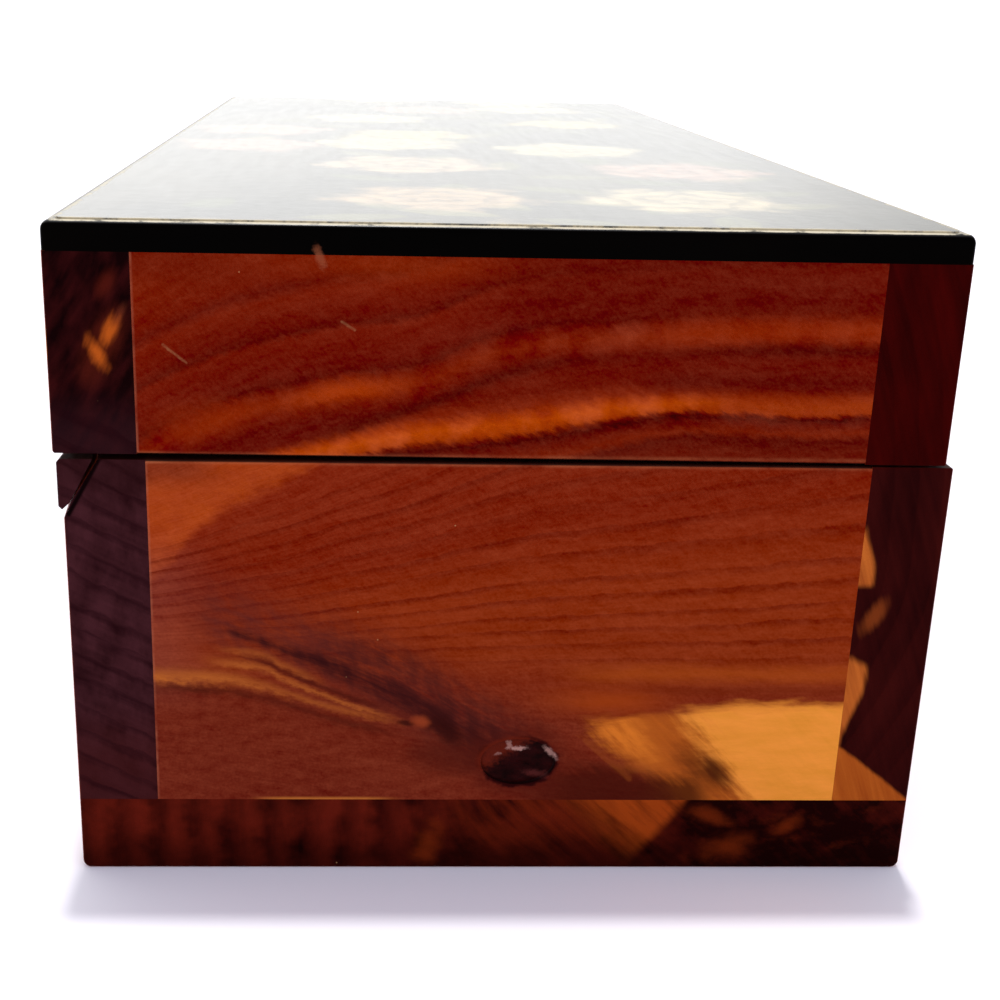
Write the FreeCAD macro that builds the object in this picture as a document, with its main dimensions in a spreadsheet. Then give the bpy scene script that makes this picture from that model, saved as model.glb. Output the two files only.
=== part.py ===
import FreeCAD, Part
import os
import re
import Sketcher
from FreeCAD import Placement, Rotation, Vector

# A small keepsake box of solid cedar boards with a hinged lid, in millimetres.
# The origin is the middle of the underside. X runs along the box, the front is at -Y, the hinges at +Y.
# The box was glued up closed and then sawn apart, so the lid's walls match the base's.

SIZES = {
    # Overall box
    "box_length": 238.0,
    "box_width": 102.0,
    "base_height": 52.75,
    "wall_thickness": 9.5,
    "bottom_thickness": 9.6,
    "lid_wall_height": 22.65,
    "lid_top_thickness": 3.3,
    "print_thickness": 0.2,
    # Seat of the lid: saw kerf left open at the back and front, and the lid's shift to the back
    "seam_gap_back": 0.7,
    "seam_gap_front": 0.25,
    "lid_set_back": 0.9,
    # Eased and rounded edges, and the bare margin round the print
    "arris_radius": 0.4,
    "bottom_edge_radius": 1.0,
    "top_edge_radius": 1.1,
    "top_end_radius": 0.7,
    "print_margin": 0.25,
    "print_corner_radius": 1.5,
    # Split corner of the base's back board: how far short of the hinge it ends, its reach across the rim and
    # depth down the outer face, and the knee where it turns down to that face
    "split_hinge_gap": 17.5,
    "split_reach": 4.15,
    "split_depth": 7.2,
    "split_knee_inset": 0.86,
    "split_knee_depth": 5.2,
    # Sliver beyond the split: how far it has sprung out, its gape at the rim and at the knee, and its tip
    "sliver_spring": 0.5,
    "sliver_rim_gape": 0.6,
    "sliver_knee_gape": 0.08,
    "sliver_tip_depth": 6.0,
    "sliver_tip_bevel": 0.4,
    # Hole of a fallen knot in the left end panel, beside the middle and above the table
    "knot_aside": 2.3,
    "knot_height": 14.8,
    "knot_half_width": 4.6,
    "knot_half_height": 3.1,
    "knot_depth": 1.8,
    # Butt hinges let into the rims
    "hinge_inset": 50.0,
    "hinge_length": 25.0,
    "leaf_width": 8.0,
    "leaf_thickness": 0.8,
    "knuckle_radius": 1.6,
    "knuckle_gap": 0.2,
    "pin_diameter": 1.6,
    "pin_clearance": 0.05,
    "pin_outset": 0.35,
    "mortise_clearance": 0.1,
    "barrel_clearance": 0.25,
    # Hinge screws
    "screw_spacing": 14.0,
    "screw_length": 9.0,
    "screw_head_diameter": 3.6,
    "screw_shank_diameter": 2.2,
    "screw_point_length": 2.2,
    "screw_slot_width": 0.5,
    "screw_clearance": 0.05,
    # Headless brads, sunk below the face
    "brad_length": 22.0,
    "brad_diameter": 1.4,
    "brad_point_length": 1.8,
    "brad_sunk": 0.3,
    "brad_clearance": 0.03,
    # Reach of every cut past the face that it starts from
    "overrun": 2.0,
}

# Depth of a screw head in its leaf and of the slot in the head
HEAD_DEPTH_SHARE = 0.75
SLOT_DEPTH_SHARE = 0.6
# Bevel of the pin's ends, of its diameter
PIN_END_SHARE = 0.15
# Section of the split where it runs out before the hinge, of its section at the board's end
SPLIT_RUN_OUT_SHARE = 0.3
# Heights of the corner brads, of the wall that they go through
BASE_BRAD_SHARES = (0.22, 0.78)
LID_BRAD_SHARES = (0.3, 0.72)
# Places of the bottom's brads along the long walls, of the box's length
BOTTOM_BRAD_SHARES = (-0.3, 0.0, 0.3)

KNUCKLES = 5
SAME = 1e-4
CUTS = ("PartDesign::Pocket", "PartDesign::SubtractiveLoft")

doc = FreeCAD.newDocument("cedar_box")
sheet = doc.addObject("Spreadsheet::Sheet", "Sizes")


def fill_sheet():
    for row, (name, number) in enumerate(SIZES.items(), start=1):
        sheet.set(f"A{row}", name)
        sheet.set(f"B{row}", str(number))
        sheet.setAlias(f"B{row}", name)
    doc.recompute()


fill_sheet()


def bind(formula):
    """The formula with every size name pointed at its cell."""
    def point(match):
        word = match.group()
        return f"Sizes.{word}" if word in SIZES else word
    return re.sub(r"[A-Za-z_]+", point, formula)


def value(formula):
    return float(sheet.evalExpression(bind(formula)))


# Places that several pieces share, as formulas of the sizes
LEFT = "(-box_length / 2)"
RIGHT = "(box_length / 2)"
FRONT = "(-box_width / 2)"
BACK = "(box_width / 2)"
FRONT_INSIDE = "(wall_thickness - box_width / 2)"
BACK_INSIDE = "(box_width / 2 - wall_thickness)"
RIGHT_INSIDE = "(box_length / 2 - wall_thickness)"
LID_FRONT = "(lid_set_back - box_width / 2)"
LID_BACK = "(lid_set_back + box_width / 2)"
LID_FRONT_INSIDE = "(lid_set_back + wall_thickness - box_width / 2)"
LID_BACK_INSIDE = "(lid_set_back - wall_thickness + box_width / 2)"
LID_UNDER = "(base_height + seam_gap_back + lid_wall_height)"
PANEL_TOP = "(base_height + seam_gap_back + lid_wall_height + lid_top_thickness)"
HINGE_Y = "(box_width / 2 + pin_outset)"
HINGE_Z = "(base_height + seam_gap_back / 2)"
HINGE_SIDES = {"left": "(hinge_inset - box_length / 2)", "right": "(box_length / 2 - hinge_inset)"}
SCREW_LINE = "((knuckle_radius + leaf_width) / 2)"
HEAD_DEPTH = f"(leaf_thickness * {HEAD_DEPTH_SHARE})"
BRAD_REACH = "(brad_sunk + brad_length)"
END_MIDDLES = {
    "left": "(wall_thickness / 2 - box_length / 2)",
    "right": "(box_length / 2 - wall_thickness / 2)",
}
SPLIT_LENGTH = "(hinge_inset - hinge_length / 2 - split_hinge_gap)"


def lid_rim(depth):
    """Height of the lid's sloping rim at this depth in from the lid's back face."""
    return f"(base_height + seam_gap_back - (seam_gap_back - seam_gap_front) * ({depth}) / box_width)"


# Sketches and features

def new_body(label):
    body = doc.addObject("PartDesign::Body", label)
    body.Label = label
    return body


def origin_feature(body, role):
    return next(item for item in body.Origin.OriginFeatures if item.Role == role)


def new_sketch(body, role, level="0"):
    """A sketch on one of the body's origin planes, lifted along the plane's normal."""
    sketch = body.newObject("Sketcher::SketchObject", f"{body.Label}_sketch")
    sketch.AttachmentSupport = [(origin_feature(body, role), "")]
    sketch.MapMode = "FlatFace"
    sketch.setExpression("AttachmentOffset.Base.z", bind(level))
    return sketch


def place_point(sketch, geometry, point, across, up):
    """Ties a point of the sketch to its two distances from the sketch's origin."""
    for kind, formula in (("DistanceX", across), ("DistanceY", up)):
        rule = Sketcher.Constraint(kind, -1, 1, geometry, point, value(formula))
        number = sketch.addConstraint(rule)
        sketch.setExpression(f"Constraints[{number}]", bind(formula))


def polygon(body, role, corners, level="0"):
    sketch = new_sketch(body, role, level)
    spots = [Vector(value(across), value(up), 0) for across, up in corners]
    count = len(spots)
    for index in range(count):
        sketch.addGeometry(Part.LineSegment(spots[index], spots[(index + 1) % count]))
    for index in range(count):
        sketch.addConstraint(Sketcher.Constraint("Coincident", index, 2, (index + 1) % count, 1))
    for index, (across, up) in enumerate(corners):
        place_point(sketch, index, 1, across, up)
    return sketch


def rectangle(body, role, low, high, level="0"):
    corners = [low, (high[0], low[1]), high, (low[0], high[1])]
    return polygon(body, role, corners, level)


def circles(body, role, centres, diameter, level="0"):
    sketch = new_sketch(body, role, level)
    for index, (across, up) in enumerate(centres):
        middle = Vector(value(across), value(up), 0)
        sketch.addGeometry(Part.Circle(middle, Vector(0, 0, 1), value(diameter) / 2))
        place_point(sketch, index, 3, across, up)
        number = sketch.addConstraint(Sketcher.Constraint("Diameter", index, value(diameter)))
        sketch.setExpression(f"Constraints[{number}]", bind(diameter))
    return sketch


def extrude(body, kind, sketch, length, reverse=False, middle=False):
    feature = body.newObject(f"PartDesign::{kind}", f"{body.Label}_{kind.lower()}")
    feature.Profile = sketch
    feature.setExpression("Length", bind(length))
    feature.Reversed = reverse
    feature.SideType = "Symmetric" if middle else "One side"
    return feature


def revolve(body, corners):
    """A solid of revolution about the body's Z axis, from its half outline in the XZ plane."""
    sketch = polygon(body, "XZ_Plane", corners)
    feature = body.newObject("PartDesign::Revolution", f"{body.Label}_revolution")
    feature.Profile = sketch
    feature.ReferenceAxis = (sketch, ["V_Axis"])
    return feature


def repeat_along_x(body, feature, count, length):
    pattern = body.newObject("PartDesign::LinearPattern", f"{body.Label}_pattern")
    pattern.Originals = [feature]
    pattern.Direction = (origin_feature(body, "X_Axis"), [""])
    pattern.Occurrences = count
    pattern.setExpression("Length", bind(length))
    body.Tip = pattern
    return pattern


def edges_at(shape, place):
    """Names of the edges whose ends all lie at the given coordinates, such as {"y": ..., "z": ...}."""
    wanted = {axis: value(formula) for axis, formula in place.items()}
    names = []
    for number, edge in enumerate(shape.Edges, start=1):
        ends = [vertex.Point for vertex in edge.Vertexes]
        if all(abs(getattr(end, axis) - wanted[axis]) < SAME for end in ends for axis in wanted):
            names.append(f"Edge{number}")
    return names


def dress_edges(body, kind, measure, size, names):
    base = body.Tip
    feature = body.newObject(f"PartDesign::{kind}", f"{body.Label}_{kind.lower()}")
    feature.Base = (base, names)
    feature.setExpression(measure, bind(size))


def find_edges(body, places):
    doc.recompute()
    return [name for place in places for name in edges_at(body.Tip.Shape, place)]


def ease(body, radius, places):
    """Rounds the body's edges at the given places."""
    dress_edges(body, "Fillet", "Radius", radius, find_edges(body, places))


def bevel(body, size, places):
    dress_edges(body, "Chamfer", "Size", size, find_edges(body, places))


# Boards

def board(label, section, length, start):
    """A board with its section in the YZ plane, run along X from its start."""
    body = new_body(label)
    extrude(body, "Pad", polygon(body, "YZ_Plane", section, start), length)
    return body


def upright(outer, inner, low_outer, low_inner, top):
    """Section of a wall from its outer to its inner face, with its own height of lower edge at each."""
    return [(outer, low_outer), (inner, low_inner), (inner, top), (outer, top)]


def drill(body, role, centres, diameter, depth, level, reverse):
    extrude(body, "Pocket", circles(body, role, centres, diameter, level), depth, reverse)


def brad_holes(body, role, centres, level, reverse, thickness):
    """Holes of brads that go right through a board."""
    drill(body, role, centres, "brad_diameter + 2 * brad_clearance", thickness, level, reverse)


def brad_sockets(body, role, centres, level, reverse, passed):
    """Blind holes that take the points of brads which have passed through another board."""
    depth = f"{BRAD_REACH} - ({passed}) + brad_clearance"
    drill(body, role, centres, "brad_diameter + 2 * brad_clearance", depth, level, reverse)


def base_brad_heights():
    return [f"(bottom_thickness + (base_height - bottom_thickness) * {share})" for share in BASE_BRAD_SHARES]


def lid_brad_heights():
    return [f"(base_height + seam_gap_back + lid_wall_height * {share})" for share in LID_BRAD_SHARES]


def corner_brad_centres(heights):
    return [(across, up) for across in END_MIDDLES.values() for up in heights]


def wall_bottom_places():
    """Bottom brads, as places in the XY plane, by the wall that each goes into."""
    along = [f"(box_length * {share})" for share in BOTTOM_BRAD_SHARES]
    return {
        "front": [(x, "(wall_thickness / 2 - box_width / 2)") for x in along],
        "back": [(x, "(box_width / 2 - wall_thickness / 2)") for x in along],
        "left": [(END_MIDDLES["left"], "0")],
        "right": [(END_MIDDLES["right"], "0")],
    }


def make_bottom_board():
    section = upright(FRONT, BACK, "0", "0", "bottom_thickness")
    body = board("base_bottom_board", section, "box_length", LEFT)
    ease(body, "bottom_edge_radius", [{"y": FRONT, "z": "0"}, {"y": BACK, "z": "0"}])
    ease(body, "arris_radius", [{"x": LEFT, "z": "0"}, {"x": RIGHT, "z": "0"}])
    centres = [place for places in wall_bottom_places().values() for place in places]
    brad_holes(body, "XY_Plane", centres, "0", True, "bottom_thickness")
    return body


def ease_wall(body, outer, rim):
    """Eases the outer uprights and the outer rim of a long wall."""
    uprights = [{"x": LEFT, "y": outer}, {"x": RIGHT, "y": outer}]
    ease(body, "arris_radius", uprights + [{"y": outer, "z": rim}])


def make_base_long_board(label, outer, inner, side):
    section = upright(outer, inner, "bottom_thickness", "bottom_thickness", "base_height")
    body = board(label, section, "box_length", LEFT)
    ease_wall(body, outer, "base_height")
    front = side == "front"
    centres = corner_brad_centres(base_brad_heights())
    brad_holes(body, "XZ_Plane", centres, f"-{outer}", not front, "wall_thickness")
    sockets = wall_bottom_places()[side]
    brad_sockets(body, "XY_Plane", sockets, "bottom_thickness", True, "bottom_thickness")
    return body


def make_base_end(side, start, outer):
    label = f"base_{side}_end"
    section = upright(FRONT_INSIDE, BACK_INSIDE, "bottom_thickness", "bottom_thickness", "base_height")
    body = board(label, section, "wall_thickness", start)
    ease(body, "arris_radius", [{"x": outer, "z": "base_height"}])
    centres = [(END_MIDDLES[side], up) for up in base_brad_heights()]
    brad_sockets(body, "XZ_Plane", centres, f"-{FRONT_INSIDE}", False, "wall_thickness")
    brad_sockets(body, "XZ_Plane", centres, f"-{BACK_INSIDE}", True, "wall_thickness")
    brad_sockets(body, "XY_Plane", wall_bottom_places()[side], "bottom_thickness", True, "bottom_thickness")
    return body


def make_lid_long_board(label, outer, inner, depth_outer, depth_inner, front):
    section = upright(outer, inner, lid_rim(depth_outer), lid_rim(depth_inner), LID_UNDER)
    body = board(label, section, "box_length", LEFT)
    ease_wall(body, outer, lid_rim(depth_outer))
    centres = corner_brad_centres(lid_brad_heights())
    brad_holes(body, "XZ_Plane", centres, f"-{outer}", not front, "wall_thickness")
    return body


def make_lid_end(side, start, outer):
    label = f"lid_{side}_end"
    low_back = lid_rim("wall_thickness")
    low_front = lid_rim("box_width - wall_thickness")
    section = upright(LID_FRONT_INSIDE, LID_BACK_INSIDE, low_front, low_back, LID_UNDER)
    body = board(label, section, "wall_thickness", start)
    ease_sloping_rim(body, outer)
    centres = [(END_MIDDLES[side], up) for up in lid_brad_heights()]
    brad_sockets(body, "XZ_Plane", centres, f"-{LID_FRONT_INSIDE}", False, "wall_thickness")
    brad_sockets(body, "XZ_Plane", centres, f"-{LID_BACK_INSIDE}", True, "wall_thickness")
    return body


def ease_sloping_rim(body, outer):
    """Eases the outer edge of a lid end's rim, the lowest of the edges on its outer face."""
    doc.recompute()
    shape = body.Tip.Shape
    lowest = min(edges_at(shape, {"x": outer}), key=lambda name: shape.getElement(name).CenterOfMass.z)
    dress_edges(body, "Fillet", "Radius", "arris_radius", [lowest])


# Details of single boards

def loft_split(body, kind, near, far):
    """Runs a section at the board's left end into another where the split ends."""
    loft = body.newObject(f"PartDesign::{kind}", f"{body.Label}_{kind.lower()}")
    loft.Profile = polygon(body, "YZ_Plane", near, LEFT)
    loft.Sections = [polygon(body, "YZ_Plane", far, f"({LEFT} + {SPLIT_LENGTH})")]
    loft.Ruled = True
    body.Tip = loft


def split_section(share):
    """What the split takes off the board's upper corner, at this share of its full section."""
    root = f"({BACK} - split_reach * {share})"
    knee = f"({BACK} - split_knee_inset * {share})"
    foot = f"(base_height - split_depth * {share})"
    above = "(base_height + overrun)"
    beyond = f"({BACK} + overrun)"
    return [
        (root, "base_height"),
        (root, above),
        (beyond, above),
        (beyond, foot),
        (BACK, foot),
        (knee, f"(base_height - split_knee_depth * {share})"),
    ]


def sliver_section(share, sprung):
    """The sliver beyond the split, either sprung out (1) or still in its place (0)."""
    outer = f"({BACK} + sliver_spring * {sprung})"
    root = f"({BACK} - split_reach * {share} + sliver_rim_gape * {sprung})"
    knee = f"({BACK} - split_knee_inset * {share} + sliver_knee_gape * {sprung})"
    return [
        (root, "base_height"),
        (f"({outer} - arris_radius)", "base_height"),
        (outer, "(base_height - arris_radius)"),
        (outer, f"(base_height - (sliver_tip_depth - sliver_tip_bevel) * {share})"),
        (f"({outer} - sliver_tip_bevel * {share})", f"(base_height - sliver_tip_depth * {share})"),
        (knee, f"(base_height - split_knee_depth * {share})"),
    ]


def split_corner(body):
    """Cuts the split corner off the back board and puts it back as a sliver that has sprung out.

    The split gets shallower along the board, and the sliver stays joined to it where the split runs out.
    """
    run_out = SPLIT_RUN_OUT_SHARE
    loft_split(body, "SubtractiveLoft", split_section(1), split_section(run_out))
    loft_split(body, "AdditiveLoft", sliver_section(1, 1), sliver_section(run_out, 0))


def knot_hole(body):
    hole = body.newObject("PartDesign::SubtractiveEllipsoid", f"{body.Label}_knot_hole")
    hole.AttachmentSupport = [(origin_feature(body, "YZ_Plane"), "")]
    hole.MapMode = "FlatFace"
    hole.setExpression("AttachmentOffset.Base.x", bind("-knot_aside"))
    hole.setExpression("AttachmentOffset.Base.y", bind("knot_height"))
    hole.setExpression("AttachmentOffset.Base.z", bind(LEFT))
    hole.setExpression("Radius1", bind("knot_depth"))
    hole.setExpression("Radius2", bind("knot_half_width"))
    hole.setExpression("Radius3", bind("knot_half_height"))


def hinge_seat(body, middle, rim, outer, into_lid):
    """Lets one leaf into a board's rim, with room for the barrel and holes for the leaf's screws."""
    half = "(hinge_length / 2 + mortise_clearance)"
    inner = f"({HINGE_Y} - leaf_width - mortise_clearance)"
    low = (f"({middle} - {half})", inner)
    high = (f"({middle} + {half})", f"({outer} + overrun)")
    floor = f"({rim} + leaf_thickness)" if into_lid else f"({rim} - leaf_thickness)"
    mouth = f"({rim} - overrun)" if into_lid else f"({rim} + overrun)"
    mortise = rectangle(body, "XY_Plane", low, high, mouth)
    extrude(body, "Pocket", mortise, "leaf_thickness + overrun", into_lid)
    barrel = circles(body, "YZ_Plane", [(HINGE_Y, HINGE_Z)], "2 * (knuckle_radius + barrel_clearance)",
                     f"({middle} - {half})")
    extrude(body, "Pocket", barrel, f"2 * {half}", True)
    screws = [(f"({middle} {sign} screw_spacing / 2)", f"({HINGE_Y} - {SCREW_LINE})") for sign in "+-"]
    drill(body, "XY_Plane", screws, "screw_shank_diameter + 2 * screw_clearance",
          "screw_length - leaf_thickness + screw_clearance", floor, into_lid)


# Top of the lid

def make_top_panel():
    body = new_body("lid_top_panel")
    outline = rectangle(body, "XY_Plane", (LEFT, LID_FRONT), (RIGHT, LID_BACK), LID_UNDER)
    extrude(body, "Pad", outline, "lid_top_thickness")
    ease(body, "top_edge_radius", [{"y": LID_FRONT, "z": PANEL_TOP}, {"y": LID_BACK, "z": PANEL_TOP}])
    ease(body, "top_end_radius", [{"x": LEFT, "z": PANEL_TOP}, {"x": RIGHT, "z": PANEL_TOP}])
    return body


def make_print_sheet():
    body = new_body("lid_print_sheet")
    end_inset = "(top_end_radius + print_margin)"
    side_inset = "(top_edge_radius + print_margin)"
    low = (f"({LEFT} + {end_inset})", f"({LID_FRONT} + {side_inset})")
    high = (f"({RIGHT} - {end_inset})", f"({LID_BACK} - {side_inset})")
    extrude(body, "Pad", rectangle(body, "XY_Plane", low, high, PANEL_TOP), "print_thickness")
    corners = [{"x": across, "y": up} for across in (low[0], high[0]) for up in (low[1], high[1])]
    ease(body, "print_corner_radius", corners)
    return body


# Hinges

def make_leaf(label, middle, lid):
    """A leaf of a butt hinge, modelled about the pin's middle as the lower of the two leaves.

    The base's leaf has the odd knuckles and the lid's the even ones. The lid's leaf is turned over.
    """
    body = new_body(label)
    face = "(-seam_gap_back / 2)"
    plate = rectangle(body, "YZ_Plane", ("-leaf_width", f"({face} - leaf_thickness)"), ("0", face))
    extrude(body, "Pad", plate, "hinge_length", middle=True)
    barrel = circles(body, "YZ_Plane", [("0", "0")], "2 * knuckle_radius")
    extrude(body, "Pad", barrel, "hinge_length", middle=True)
    cut_knuckles(body, lid)
    bore = circles(body, "YZ_Plane", [("0", "0")], "pin_diameter + 2 * pin_clearance")
    extrude(body, "Pocket", bore, "hinge_length + 2 * overrun", middle=True)
    leaf_screw_holes(body, face)
    body.setExpression("Placement.Base.x", bind(middle))
    body.setExpression("Placement.Base.y", bind(HINGE_Y))
    body.setExpression("Placement.Base.z", bind(HINGE_Z))
    body.Placement.Rotation = Rotation(Vector(0, 1, 0), 180 if lid else 0)
    return body


def cut_knuckles(body, lid):
    """Clears the other leaf's knuckles out of this one's barrel and plate."""
    pitch = f"(hinge_length / {KNUCKLES})"
    count = KNUCKLES // 2 + (1 if lid else 0)
    first = f"(-{pitch} * {count} - knuckle_gap / 2 + {pitch} / 2)"
    room = circles(body, "YZ_Plane", [("0", "0")], "2 * (knuckle_radius + knuckle_gap)", first)
    notch = extrude(body, "Pocket", room, f"{pitch} + knuckle_gap", True)
    repeat_along_x(body, notch, count, f"2 * {pitch} * {count - 1}")


def leaf_screw_holes(body, face):
    for sign in "+-":
        across = f"({sign}screw_spacing / 2)"
        hole = circles(body, "XY_Plane", [(across, f"(-{SCREW_LINE})")],
                       "screw_shank_diameter + 2 * screw_clearance", face)
        extrude(body, "Pocket", hole, "leaf_thickness + overrun")
        sink = body.newObject("PartDesign::SubtractiveCone", f"{body.Label}_countersink")
        sink.AttachmentSupport = [(origin_feature(body, "XY_Plane"), "")]
        sink.MapMode = "FlatFace"
        sink.setExpression("AttachmentOffset.Base.x", bind(across))
        sink.setExpression("AttachmentOffset.Base.y", bind(f"-{SCREW_LINE}"))
        sink.setExpression("AttachmentOffset.Base.z", bind(f"{face} - {HEAD_DEPTH}"))
        sink.setExpression("Radius1", bind("screw_shank_diameter / 2 + screw_clearance"))
        sink.setExpression("Radius2", bind("screw_head_diameter / 2 + screw_clearance"))
        sink.setExpression("Height", bind(HEAD_DEPTH))


def make_pin(label, middle):
    body = new_body(label)
    extrude(body, "Pad", circles(body, "YZ_Plane", [("0", "0")], "pin_diameter"), "hinge_length", middle=True)
    ends = [{"x": "hinge_length / 2"}, {"x": "-hinge_length / 2"}]
    bevel(body, f"pin_diameter * {PIN_END_SHARE}", ends)
    body.setExpression("Placement.Base.x", bind(middle))
    body.setExpression("Placement.Base.y", bind(HINGE_Y))
    body.setExpression("Placement.Base.z", bind(HINGE_Z))
    return body


# Fasteners: each kind is modelled once, head up at the origin, and copied to its places as a group

def make_screw():
    body = new_body("screw_pattern")
    head = "screw_head_diameter / 2"
    shank = "screw_shank_diameter / 2"
    revolve(body, [
        ("0", "0"),
        (head, "0"),
        (shank, f"-{HEAD_DEPTH}"),
        (shank, "screw_point_length - screw_length"),
        ("0", "-screw_length"),
    ])
    low = (f"-({head}) - overrun", "-screw_slot_width / 2")
    high = (f"({head}) + overrun", "screw_slot_width / 2")
    slot = rectangle(body, "XY_Plane", low, high)
    extrude(body, "Pocket", slot, f"{HEAD_DEPTH} * {SLOT_DEPTH_SHARE}")
    return body


def make_brad():
    body = new_body("brad_pattern")
    shank = "brad_diameter / 2"
    revolve(body, [
        ("0", "0"),
        (shank, "0"),
        (shank, "brad_point_length - brad_length"),
        ("0", "-brad_length"),
    ])
    return body


def group(label, pattern, spots):
    """Separate copies of one fastener, each at its place with its point turned to a direction."""
    copies = []
    for place, direction in spots:
        copy = pattern.Shape.copy()
        copy.Placement = Placement(place, Rotation(Vector(0, 0, -1), direction))
        copies.append(copy)
    feature = doc.addObject("Part::Feature", label)
    feature.Label = label
    feature.Shape = Part.makeCompound(copies)
    return feature


def hinge_screw_spots(rim, direction):
    line = value(f"{HINGE_Y} - {SCREW_LINE}")
    places = [value(f"{middle} {sign} screw_spacing / 2") for middle in HINGE_SIDES.values() for sign in "+-"]
    return [(Vector(x, line, value(rim)), direction) for x in places]


def corner_brad_spots(heights, front, back):
    """Brads at the four corners, driven from the front and back faces towards the middle."""
    sunk = value("brad_sunk")
    spots = []
    for across, up in corner_brad_centres(heights):
        spots.append((Vector(value(across), value(front) + sunk, value(up)), Vector(0, 1, 0)))
        spots.append((Vector(value(across), value(back) - sunk, value(up)), Vector(0, -1, 0)))
    return spots


def bottom_brad_spots():
    sunk = value("brad_sunk")
    places = [place for places in wall_bottom_places().values() for place in places]
    return [(Vector(value(x), value(y), sunk), Vector(0, 0, 1)) for x, y in places]


# Assembly

def make_base():
    front = make_base_long_board("base_front_board", FRONT, FRONT_INSIDE, "front")
    back = make_base_long_board("base_back_board", BACK, BACK_INSIDE, "back")
    for middle in HINGE_SIDES.values():
        hinge_seat(back, middle, "base_height", BACK, False)
    split_corner(back)
    left = make_base_end("left", LEFT, LEFT)
    knot_hole(left)
    right = make_base_end("right", RIGHT_INSIDE, RIGHT)
    return [make_bottom_board(), front, back, left, right]


def make_lid():
    front = make_lid_long_board("lid_front_board", LID_FRONT, LID_FRONT_INSIDE, "box_width",
                                "box_width - wall_thickness", True)
    back = make_lid_long_board("lid_back_board", LID_BACK, LID_BACK_INSIDE, "0", "wall_thickness", False)
    for middle in HINGE_SIDES.values():
        hinge_seat(back, middle, "(base_height + seam_gap_back)", LID_BACK, True)
    left = make_lid_end("left", LEFT, LEFT)
    right = make_lid_end("right", RIGHT_INSIDE, RIGHT)
    return [front, back, left, right, make_top_panel(), make_print_sheet()]


def make_hinges():
    pieces = []
    for side, middle in HINGE_SIDES.items():
        pieces.append(make_leaf(f"hinge_{side}_base_leaf", middle, False))
        pieces.append(make_leaf(f"hinge_{side}_lid_leaf", middle, True))
        pieces.append(make_pin(f"hinge_{side}_pin", middle))
    return pieces


def make_fasteners():
    screw = make_screw()
    brad = make_brad()
    doc.recompute()
    down = Vector(0, 0, -1)
    up = Vector(0, 0, 1)
    return [
        group("hinge_base_screws", screw, hinge_screw_spots("base_height", down)),
        group("hinge_lid_screws", screw, hinge_screw_spots("base_height + seam_gap_back", up)),
        group("base_corner_brads", brad, corner_brad_spots(base_brad_heights(), FRONT, BACK)),
        group("lid_corner_brads", brad, corner_brad_spots(lid_brad_heights(), LID_FRONT, LID_BACK)),
        group("bottom_brads", brad, bottom_brad_spots()),
    ]


def check_document(pieces):
    """Stops if anything failed to build, or if a cut took nothing away."""
    for item in doc.Objects:
        if "Invalid" in item.State or "Error" in item.State:
            raise RuntimeError(f"{item.Label} failed: {item.State}")
    for item in doc.Objects:
        if item.TypeId in CUTS and item.Shape.Volume >= item.BaseFeature.Shape.Volume:
            raise RuntimeError(f"{item.Label} cuts nothing")
    for piece in pieces:
        if piece.Shape.isNull() or not piece.Shape.isValid():
            raise RuntimeError(f"{piece.Label} has no valid shape")


def main():
    pieces = make_base() + make_lid() + make_hinges() + make_fasteners()
    doc.recompute()
    check_document(pieces)
    os.makedirs("parts", exist_ok=True)
    for piece in pieces:
        piece.Shape.exportStep(f"parts/{piece.Label}.step")
        print(piece.Label, len(piece.Shape.Solids), round(piece.Shape.Volume, 2))


main()
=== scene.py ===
import math
import random

import bmesh
import bpy
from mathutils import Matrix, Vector


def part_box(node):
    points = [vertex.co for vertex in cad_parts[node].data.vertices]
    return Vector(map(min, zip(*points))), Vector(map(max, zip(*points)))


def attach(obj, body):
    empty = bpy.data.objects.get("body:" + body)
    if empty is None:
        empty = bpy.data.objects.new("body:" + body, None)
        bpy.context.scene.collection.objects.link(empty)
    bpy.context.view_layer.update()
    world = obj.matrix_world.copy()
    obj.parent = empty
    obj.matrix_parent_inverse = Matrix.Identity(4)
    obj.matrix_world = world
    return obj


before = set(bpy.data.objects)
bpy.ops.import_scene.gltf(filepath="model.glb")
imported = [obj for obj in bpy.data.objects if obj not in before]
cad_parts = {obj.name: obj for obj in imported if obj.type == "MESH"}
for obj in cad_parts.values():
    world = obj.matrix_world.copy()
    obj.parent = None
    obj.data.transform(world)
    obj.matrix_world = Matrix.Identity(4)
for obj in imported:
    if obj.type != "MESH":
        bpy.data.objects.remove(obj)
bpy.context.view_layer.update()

# A cedar keepsake box. Surfaces are painted in millimetres of the box's own frame: "back" is the distance
# in from the base's back face (the hinge side), "z" the height above the table, "x" along the box.
MM = 0.001
PER_M = 1000.0


def node_box(name):
    """Lowest and highest corners of a node, in millimetres."""
    low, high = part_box(name)
    return Vector(low) * PER_M, Vector(high) * PER_M


BOTTOM_LOW, BOTTOM_HIGH = node_box("base_bottom_board")
FRONT_LOW, FRONT_HIGH = node_box("base_front_board")
PANEL_LOW, PANEL_HIGH = node_box("lid_top_panel")
PRINT_LOW, PRINT_HIGH = node_box("lid_print_sheet")
BACK_FACE = BOTTOM_HIGH.y
LEFT_FACE = BOTTOM_LOW.x
WALL = FRONT_HIGH.y - FRONT_LOW.y
FRONT_JOINT = BACK_FACE - FRONT_HIGH.y
RIM = FRONT_HIGH.z
LID_SET_BACK = PANEL_HIGH.y - BACK_FACE


# Shader nodes as formulas

def srgb(red, green, blue):
    """A colour given as 0 to 255 in the picture's own scale, for a shader."""
    def linear(level):
        share = level / 255
        return share / 12.92 if share <= 0.04045 else ((share + 0.055) / 1.055) ** 2.4
    return (linear(red), linear(green), linear(blue), 1.0)


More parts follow.
